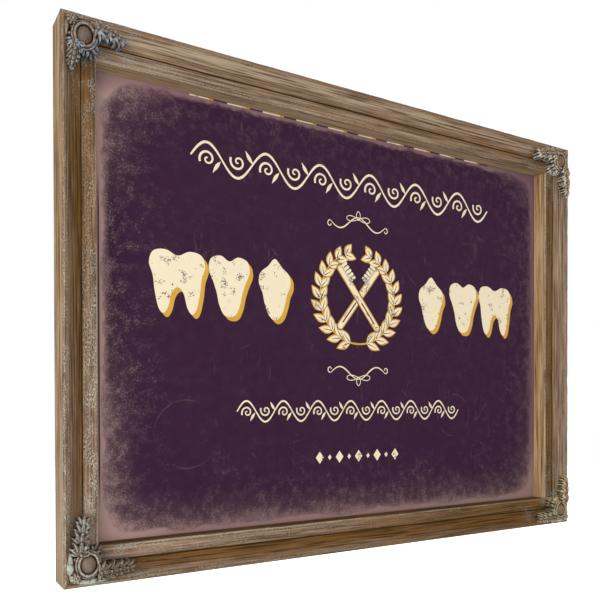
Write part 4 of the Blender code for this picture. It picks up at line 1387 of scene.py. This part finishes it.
def stroke_piece(name, strokes, width, finish_name, layer=1):
    """Flat pen strokes: each is a list of (x, z, share of the full width)."""
    ink = settings("sign_print")
    data = bpy.data.curves.new(name, "CURVE")
    data.dimensions = "3D"
    data.bevel_depth = width / 2
    data.bevel_resolution = 2
    data.use_fill_caps = True
    for points in strokes:
        spline = data.splines.new("POLY")
        spline.points.add(len(points) - 1)
        for point, (x, z, share) in zip(spline.points, points):
            point.co = (x, 0, z, 1)
            point.radius = share
    drawn = bpy.data.objects.new(name + "_drawn", data)
    bpy.context.scene.collection.objects.link(drawn)
    mesh = evaluated_mesh(drawn)
    bpy.data.objects.remove(drawn)
    flatten = Matrix.Diagonal((1, 2 * ink.ink / width, 1, 1))
    middle = PRINT_Y - (layer + 0.5) * ink.ink
    mesh.transform(Matrix.Translation((0, middle, 0)) @ flatten)
    mesh.name = name
    mesh.shade_smooth()
    seat(new_item(name, mesh), finish_name)


def spiral(centre, radius, start, turns, steps, inward=0.15):
    """Points of a closing curl as (x, z, width share), from its rim to its eye."""
    points = []
    for i in range(steps + 1):
        t = i / steps
        angle = start + turns * 2 * math.pi * t
        out = radius * (1 - (1 - inward) * t)
        points.append((*on_circle(centre, out, angle), 1 - 0.35 * t))
    return points


def flourish_strokes(x, z, half, rise):
    """A traditional swash: two waving arms with curled ends, and a knot of three loops in the middle."""
    strokes = []
    for side in (-1, 1):
        arm = []
        for i in range(25):
            t = i / 24
            px = x + side * half * t
            pz = z + rise * (0.55 * math.sin(math.pi * (t * 1.5 + 0.5)) - 0.28)
            arm.append((px, pz, 0.55 + 0.75 * math.sin(math.pi * t)))
        end = arm[-1]
        curl_radius = rise * 0.33
        start = math.pi / 2
        turns = -0.8 * side
        curl = spiral((end[0], end[1] - curl_radius), curl_radius, start, turns, 14)
        strokes.append(arm + curl[1:])
        loop = []
        for i in range(21):
            angle = 2 * math.pi * i / 20
            out = half * 0.42 * (1 - math.cos(angle)) / 2
            up = rise * (0.12 + 0.30 * math.sin(angle) * math.sin(angle / 2))
            loop.append((x + side * out, z + up, 0.7))
        strokes.append(loop)
    tall = []
    for i in range(21):
        angle = 2 * math.pi * i / 20
        up = rise * (0.05 + 0.75 * (1 - math.cos(angle)) / 2)
        tall.append((x + half * 0.07 * math.sin(angle), z + up, 0.7))
    strokes.append(tall)
    return strokes


def flipped(strokes, about):
    return [[(x, 2 * about - z, share) for x, z, share in points] for points in strokes]


def running_scroll(x, z, half, pitch, height):
    """A vine that waves along a line, with a curl in each of its bends and a leaf at each crossing."""
    stem = []
    steps = int(2 * half / pitch * 24)
    for i in range(steps + 1):
        phase = 2 * math.pi * (2 * half * i / steps) / pitch
        thick = 0.70 + 0.40 * abs(math.sin(phase))
        stem.append((x - half + 2 * half * i / steps, z + height / 2 * math.sin(phase), thick))
    strokes = [stem]
    for i in range(round(4 * half / pitch)):
        up = 1 if i % 2 == 0 else -1
        middle = x - half + pitch * (i / 2 + 0.25)
        radius = height * 0.29
        centre = (middle + pitch * 0.015, z - up * height * 0.04)
        strokes.append(spiral(centre, radius, up * math.radians(205), -up * 1.35, 26, 0.08))
        crossing = middle - pitch * 0.25
        leaf = []
        for k in range(9):
            t = k / 8
            lean = crossing + up * pitch * 0.02 - pitch * 0.13 * t
            rise = up * height * (0.06 + 0.40 * t ** 1.2)
            leaf.append((lean, z + rise, 0.15 + 1.45 * math.sin(math.pi * t) ** 1.3))
        if i:
            strokes.append(leaf)
    return strokes


# Rises of the two flourishes above the board's middle, and their half length, height and line weight
FLOURISH_RISES = {"upper": 0.1190, "lower": -0.0590}
FLOURISH_HALF, FLOURISH_HEIGHT, FLOURISH_LINE = 0.0385, 0.0130, 0.0013
# Rise, half length, pitch and height of the running scrolls, and their share of the line weight
SCROLLS = {
    "wide": (0.1580, 0.2040, 0.0680, 0.0310, 1.0),
    "short": (-0.0980, 0.1540, 0.0440, 0.0220, 0.74),
}


class SIGN_OT_line_work(bpy.types.Operator):
    """Print the two flourishes and the two running scrolls"""

    bl_idname = "sign.line_work"
    bl_label = "Line work"

    def execute(self, context):
        ink = settings("sign_print")
        for level, rise in FLOURISH_RISES.items():
            strokes = flourish_strokes(ink.centre, MIDDLE_Z + rise, FLOURISH_HALF, FLOURISH_HEIGHT)
            if level == "lower":
                strokes = flipped(strokes, MIDDLE_Z + rise)
            stroke_piece("flourish_" + level, strokes, FLOURISH_LINE, "line_ink")
        for length, (rise, half, pitch, height, weight) in SCROLLS.items():
            strokes = running_scroll(ink.centre, MIDDLE_Z + rise, half, pitch, height)
            stroke_piece("scroll_" + length, strokes, ink.stroke * weight, "line_ink")
        return {"FINISHED"}


def leaf_shape(root, heading, length, width, steps=10):
    """A laurel leaf's outline."""
    along = Vector((math.cos(heading), math.sin(heading)))
    across = Vector((-along.y, along.x))
    edge = []
    shares = [i / steps for i in range(steps + 1)]
    for side in (1, -1):
        points = [
            Vector(root) + along * length * t + across * side * width * math.sin(math.pi * t**0.85)
            for t in shares
        ]
        edge += points if side > 0 else points[::-1][1:-1]
    return [tuple(p) for p in edge]


def bar_shape(centre, half_length, half_width, turn, round_share=1.0):
    """A rounded bar's outline."""
    radius = half_width * round_share
    ends = arc((half_length - radius, 0), radius, -90, 90, 8)
    ends += arc((radius - half_length, 0), radius, 90, 270, 8)
    cos_turn, sin_turn = math.cos(turn), math.sin(turn)
    return [
        (centre[0] + px * cos_turn - pz * half_width / radius * sin_turn,
         centre[1] + px * sin_turn + pz * half_width / radius * cos_turn)
        for px, pz in ends
    ]


WREATH_RADIUS = 0.0520
# The row of diamonds: its drop below the board's middle, its pitch, and half a large and a small one
DIAMOND_DROP, DIAMOND_PITCH, DIAMOND_HALVES = 0.1500, 0.0132, (0.0052, 0.0024)


def emblem_centre():
    ink = settings("sign_print")
    return ink.centre, MIDDLE_Z + ink.row_rise


def wreath_leaves():
    """Laurel leaves in two branches that rise from the bottom and nearly meet at the top."""
    leaves = []
    for side in (-1, 1):
        for i in range(11):
            angle = math.radians(-90 + side * (13 + 14.6 * i))
            root = on_circle(emblem_centre(), WREATH_RADIUS, angle)
            forward = angle + side * math.pi / 2
            length = 0.0185 - 0.0004 * i
            for lean in (0.60, -0.60):
                leaves.append((root, forward + lean, length, 0.0034))
    return leaves


def wreath_stems():
    """The two bent twigs that the leaves grow on."""
    stems = []
    for side in (-1, 1):
        angles = [math.radians(-90 + side * (6 * k - 14)) for k in range(29)]
        places = [on_circle(emblem_centre(), WREATH_RADIUS, angle) for angle in angles]
        stems.append([(px, pz, 1.0 - 0.5 * k / 28) for k, (px, pz) in enumerate(places)])
    return stems


def brush_shapes(turn):
    """A toothbrush across the emblem's middle: handle, grip line and bristle tufts."""
    centre = Vector(emblem_centre())
    along = Vector((math.cos(turn), math.sin(turn)))
    across = Vector((-along.y, along.x)) * (1 if along.x > 0 else -1)
    handle = bar_shape(tuple(centre), 0.0440, 0.0031, turn)
    grip = bar_shape(tuple(centre - along * 0.0210), 0.0150, 0.0008, turn)
    tufts = []
    for i in range(5):
        place = centre + along * (0.0320 + 0.0047 * (i - 2)) + across * 0.0066
        tufts.append(bar_shape(tuple(place), 0.0046, 0.0018, turn + math.pi / 2, 0.6))
    return handle, grip, tufts


class SIGN_OT_emblem(bpy.types.Operator):
    """Print the laurel wreath with two crossed toothbrushes, and the row of diamonds under it"""

    bl_idname = "sign.emblem"
    bl_label = "Emblem"

    def execute(self, context):
        stroke_piece("wreath_stems", wreath_stems(), 0.0024, "gold_ink")
        leaf_shade, leaf_face, ribs = bmesh.new(), bmesh.new(), []
        for index, (root, heading, length, width) in enumerate(wreath_leaves()):
            layer = 2 + 2 * (index % 2)
            plate(leaf_shade, leaf_shape(root, heading, length * 1.10, width * 1.42), layer)
            plate(leaf_face, leaf_shape(root, heading, length, width), layer + 1)
            ribs.append([(*on_circle(root, length * t, heading), 1.1 - t) for t in (0.08, 0.35, 0.72)])
        print_piece("wreath_shade", leaf_shade, "gold_ink")
        print_piece("wreath_leaves", leaf_face, "cream_ink")
        stroke_piece("wreath_ribs", ribs, 0.0011, "dark_ink", layer=6)
        for index, turn in enumerate((math.radians(52), math.radians(128))):
            handle, grip, tufts = brush_shapes(turn)
            layer = 7 + 3 * index
            outline, shade, face, line_work = bmesh.new(), bmesh.new(), bmesh.new(), bmesh.new()
            plate(outline, bar_shape(emblem_centre(), 0.0462, 0.0053, turn), layer)
            plate(shade, bar_shape(emblem_centre(), 0.0454, 0.0044, turn), layer + 1)
            plate(face, handle, layer + 2)
            plate(line_work, grip, layer + 3)
            for tuft in tufts:
                plate(face, tuft, layer + 2)
            print_piece(f"brush_outline_{index + 1}", outline, "dark_ink")
            print_piece(f"brush_shade_{index + 1}", shade, "gold_ink")
            print_piece(f"brush_{index + 1}", face, "cream_ink")
            print_piece(f"brush_grip_{index + 1}", line_work, "dark_ink")
        diamonds = bmesh.new()
        for i in range(-4, 5):
            half = DIAMOND_HALVES[i % 2]
            x, z = emblem_centre()[0] + DIAMOND_PITCH * i, MIDDLE_Z - DIAMOND_DROP
            plate(diamonds, [(x + half, z), (x, z + half * 1.3), (x - half, z), (x, z - half * 1.3)], 1)
        print_piece("diamond_row", diamonds, "cream_ink")
        return {"FINISHED"}


# Where each ink of the dashed stripe starts and ends in one repeat
DASHES = {"cream_ink": (0.0, 0.50), "gold_ink": (0.50, 0.62), "dark_ink": (0.62, 1.0)}


class SIGN_OT_edge_dashes(bpy.types.Operator):
    """Print the thin dashed stripe along the board's top edge"""

    bl_idname = "sign.edge_dashes"
    bl_label = "Dashed stripe"

    def execute(self, context):
        ink = settings("sign_print")
        top = MIDDLE_Z + SIGHT_HALF_HEIGHT - 0.0003
        for finish_name, (left, right) in DASHES.items():
            bm = bmesh.new()
            for i in range(-5, 5):
                start = ink.centre + i * ink.dash_pitch
                x0, x1 = start + left * ink.dash_pitch, start + right * ink.dash_pitch
                low = top - ink.dash_height
                plate(bm, [(x0, top), (x1, top), (x1, low), (x0, low)], 0)
            print_piece("dashes_" + finish_name.split("_")[0], bm, finish_name)
        return {"FINISHED"}


def merged_copy(node, flat=True):
    """A CAD node's mesh in its place, its loose triangles joined into whole faces."""
    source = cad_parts[node]
    bm = bmesh.new()
    bm.from_mesh(source.data)
    bmesh.ops.transform(bm, matrix=source.matrix_world, verts=bm.verts)
    bmesh.ops.remove_doubles(bm, verts=bm.verts, dist=1e-6)
    if flat:
        bmesh.ops.dissolve_limit(bm, angle_limit=math.radians(2), verts=bm.verts, edges=bm.edges)
    else:
        angle = math.radians(60)
        bmesh.ops.join_triangles(bm, faces=bm.faces, angle_face_threshold=angle, angle_shape_threshold=angle)
    bmesh.ops.recalc_face_normals(bm, faces=bm.faces)
    return bm


def eased_copy(node, ease, finish_name, body):
    """A node with its sharp edges rounded over, as stamped steel or moulded rubber is."""
    bm = merged_copy(node)
    sharp = [e for e in bm.edges if len(e.link_faces) == 2 and e.calc_face_angle(0) > math.radians(50)]
    bmesh.ops.bevel(
        bm, geom=sharp, offset=ease, segments=3, profile=0.5, affect="EDGES", material=-1, clamp_overlap=True
    )
    item = new_item(node + "_eased", mesh_from(bm, node, 30.0))
    seat(item, finish_name, body, replaced=(node,))


def rounded_copy(node, finish_name, body):
    """A node of round wire, made smooth."""
    item = new_item(node + "_wire", mesh_from(merged_copy(node, flat=False), node, 180.0))
    soften = item.modifiers.new("round", "SUBSURF")
    soften.levels = 2
    soften.render_levels = 2
    seat(item, finish_name, body, replaced=(node,))


def turned_screw(node):
    """A pan-head screw on the node's axis, turned from its profile."""
    low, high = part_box(node)
    head = (high.x - low.x) / 2
    top, tip = high.y, low.y
    rise = settings("sign_hardware").head_height
    shank = 0.48 * head
    profile = [(0.0, tip), (shank * 0.9, tip + shank * 1.5), (shank, tip + shank * 1.8), (shank, top - rise)]
    crown = ((1.0, 0.0), (1.0, 0.34), (0.975, 0.5), (0.90, 0.70), (0.74, 0.87), (0.5, 0.97), (0.0, 1.0))
    profile += [(head * out, top - rise + rise * up) for out, up in crown]
    bm = bmesh.new()
    full_turn(bm, [(out, y, 0) for out, y in profile], False, (0, 1, 0), 32)
    bmesh.ops.remove_doubles(bm, verts=bm.verts, dist=1e-6)
    bmesh.ops.recalc_face_normals(bm, faces=bm.faces)
    centre = Vector(((low.x + high.x) / 2, 0, (low.z + high.z) / 2))
    bmesh.ops.translate(bm, vec=centre, verts=bm.verts)
    return bm, centre, head, top


def cross_cutter(centre, head, top, turn):
    """A tapered cross that reaches into a screw's head."""
    arm, half, depth = 0.56 * head, 0.13 * head, settings("sign_hardware").recess_depth
    corner = ((arm, -half), (arm, half), (half, half))
    outline = []
    for quarter in range(4):
        spin = Matrix.Rotation(quarter * math.pi / 2 + turn, 2)
        outline += [spin @ Vector(point) for point in corner]
    bm = bmesh.new()
    rings = []
    for y, scale in ((top - depth, 0.45), (top + 0.001, 1.0)):
        rings.append([bm.verts.new((centre.x + p.x * scale, y, centre.z + p.y * scale)) for p in outline])
    bm.faces.new(rings[0])
    bm.faces.new(rings[1])
    for i in range(12):
        k = (i + 1) % 12
        bm.faces.new((rings[0][i], rings[0][k], rings[1][k], rings[1][i]))
    bmesh.ops.recalc_face_normals(bm, faces=bm.faces)
    return bm


def cross_screw(node, turn):
    """A pan-head screw with a cross recess."""
    bm, centre, head, top = turned_screw(node)
    item = new_item(node + "_cross", mesh_from(bm, node))
    cutter = new_item("cutter", mesh_from(cross_cutter(centre, head, top, turn), "cutter"))
    recess = item.modifiers.new("recess", "BOOLEAN")
    recess.operation = "DIFFERENCE"
    recess.solver = "EXACT"
    recess.object = cutter
    cut = evaluated_mesh(item)
    item.modifiers.clear()
    item.data = cut
    bpy.data.objects.remove(cutter)
    cut.shade_smooth()
    cut.set_sharp_from_angle(angle=math.radians(32))
    seat(item, "zinc_plate", replaced=(node,))


class SIGN_OT_screws(bpy.types.Operator):
    """Make the pan-head screws with their cross recesses"""

    bl_idname = "sign.screws"
    bl_label = "Screws"

    def execute(self, context):
        nodes = ["turn_button_screw_" + place for place in BUTTONS]
        nodes += [f"hanger_screw_{side}_{level}" for side in SIDES for level in LEVELS]
        shuffle = random.Random(7)
        for node in nodes:
            cross_screw(node, shuffle.uniform(0, math.pi / 2))
        return {"FINISHED"}


class SIGN_OT_hardware(bpy.types.Operator):
    """Finish the turn buttons, hangers, mitre nails and bumpers"""

    bl_idname = "sign.hardware"
    bl_label = "Buttons, hangers and bumpers"

    def execute(self, context):
        ease = settings("sign_hardware").ease
        for place in BUTTONS:
            eased_copy("turn_button_" + place, ease, "zinc_plate", "button_" + place)
        for side in SIDES:
            eased_copy("hanger_strap_" + side, 0.7 * ease, "blued_plate", ROOT_BODY)
            rounded_copy("hanger_ring_" + side, "blued_plate", "ring_" + side)
            eased_copy("bumper_" + side, 3 * ease, "soft_rubber", ROOT_BODY)
        for corner in CORNERS:
            for level in ("outer", "inner"):
                dress_node(f"mitre_nail_{corner}_{level}", "zinc_plate")
        return {"FINISHED"}


def floor_finish(name):
    """A pale floor, lifted to white only where the camera looks straight at it."""
    made = Finish(name, 0.9, specular=0.1)
    made.colour(settings("sign_stage").floor)
    seen = made.make("ShaderNodeLightPath", "Is Camera Ray", {})
    glow = made.make("ShaderNodeEmission", "Emission", {"Strength": seen * 0.9})
    lit = Value(made, made.shader.outputs["BSDF"])
    both = made.make("ShaderNodeAddShader", "Shader", {0: lit, 1: glow})
    made.feed(made.tree.nodes["Material Output"].inputs["Surface"], both)
    return made.material


def area_lamp(name, place, target, size, power, colour=(1, 1, 1)):
    data = bpy.data.lights.new(name, "AREA")
    data.shape = "DISK"
    data.size = size
    data.energy = power
    data.color = colour
    lamp = bpy.data.objects.new(name, data)
    bpy.context.scene.collection.objects.link(lamp)
    lamp.location = place
    lamp.rotation_euler = (Vector(target) - Vector(place)).to_track_quat("-Z", "Y").to_euler()


def soft_world(strength):
    """An even surround that the camera and glossy rays see as white."""
    world = bpy.data.worlds.new("studio")
    world.use_nodes = True
    bpy.context.scene.world = world
    nodes = Nodes(world.node_tree)
    background = nodes.tree.nodes["Background"]
    background.inputs["Color"].default_value = (1, 1, 1, 1)
    rays = ("Is Camera Ray", "Is Transmission Ray", "Is Glossy Ray")
    seen = reduce(Value.most, nodes.make("ShaderNodeLightPath", rays, {}))
    level = nodes.make("ShaderNodeMapRange", "Result", {"Value": seen, "To Min": strength})
    nodes.feed(background.inputs["Strength"], level)


class SIGN_OT_stage(bpy.types.Operator):
    """Set up the floor, the lamps and the camera"""

    bl_idname = "sign.stage"
    bl_label = "Stage"

    def execute(self, context):
        stage = settings("sign_stage")
        scene = context.scene
        scene.view_settings.view_transform = "Standard"
        bm = bmesh.new()
        bmesh.ops.create_circle(bm, cap_ends=True, segments=96, radius=4.0)
        bmesh.ops.translate(bm, vec=(0, 0, BOTTOM_LOW.z - stage.floor_drop), verts=bm.verts)
        floor = new_item("floor", mesh_from(bm, "floor"))
        floor.data.materials.append(floor_finish("pale_floor"))
        soft_world(stage.world)
        middle = (0, FRONT_Y, MIDDLE_Z)
        area_lamp("key", (-2.7, -2.1, MIDDLE_Z - 0.10), middle, 2.2, stage.key)
        area_lamp("under", (-0.8, -1.5, BOTTOM_LOW.z - 0.15), middle, 0.8, stage.under)
        area_lamp("fill", (1.2, -2.6, MIDDLE_Z + 1.0), middle, 1.6, stage.fill)
        area_lamp("rear", (0.9, 1.9, MIDDLE_Z + 1.2), middle, 1.6, stage.fill * 1.5)
        data = bpy.data.cameras.new("camera")
        data.sensor_width = 36.0
        data.lens = stage.lens
        data.shift_y = stage.shift
        camera = bpy.data.objects.new("camera", data)
        scene.collection.objects.link(camera)
        x = LEFT_LOW.x - stage.camera_left
        camera.location = (x, FRONT_Y - stage.camera_front, BOTTOM_LOW.z + stage.camera_rise)
        level = Matrix.Rotation(math.pi / 2 + stage.camera_pitch, 3, "X")
        turned = Matrix.Rotation(-stage.camera_yaw, 3, "Z") @ level
        camera.rotation_euler = (turned @ Matrix.Rotation(stage.camera_roll, 3, "Z")).to_euler()
        scene.camera = camera
        return {"FINISHED"}


OPERATORS = (
    SIGN_OT_rails,
    SIGN_OT_castings,
    SIGN_OT_board,
    SIGN_OT_tooth_row,
    SIGN_OT_line_work,
    SIGN_OT_emblem,
    SIGN_OT_edge_dashes,
    SIGN_OT_screws,
    SIGN_OT_hardware,
    SIGN_OT_stage,
)


class SIGN_PT_panel(bpy.types.Panel):
    """Lists the pieces of the sign"""

    bl_idname = "SIGN_PT_panel"
    bl_label = "Dentist Sign"
    bl_space_type = "VIEW_3D"
    bl_region_type = "UI"
    bl_category = "Sign"

    def draw(self, context):
        for operator in OPERATORS:
            self.layout.operator(operator.bl_idname)


CLASSES = (*SETTINGS.values(), *OPERATORS, SIGN_PT_panel)


def register():
    for item in CLASSES:
        bpy.utils.register_class(item)
    for name, group in SETTINGS.items():
        setattr(bpy.types.Scene, name, PointerProperty(type=group))


def unregister():
    for name in SETTINGS:
        delattr(bpy.types.Scene, name)
    for item in reversed(CLASSES):
        bpy.utils.unregister_class(item)


def main():
    """Makes every piece."""
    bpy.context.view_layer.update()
    register()
    bpy.ops.sign.rails()
    bpy.ops.sign.castings()
    bpy.ops.sign.board()
    bpy.ops.sign.tooth_row()
    bpy.ops.sign.line_work()
    bpy.ops.sign.emblem()
    bpy.ops.sign.edge_dashes()
    bpy.ops.sign.screws()
    bpy.ops.sign.hardware()
    bpy.ops.sign.stage()


if __name__ == "__main__":
    main()
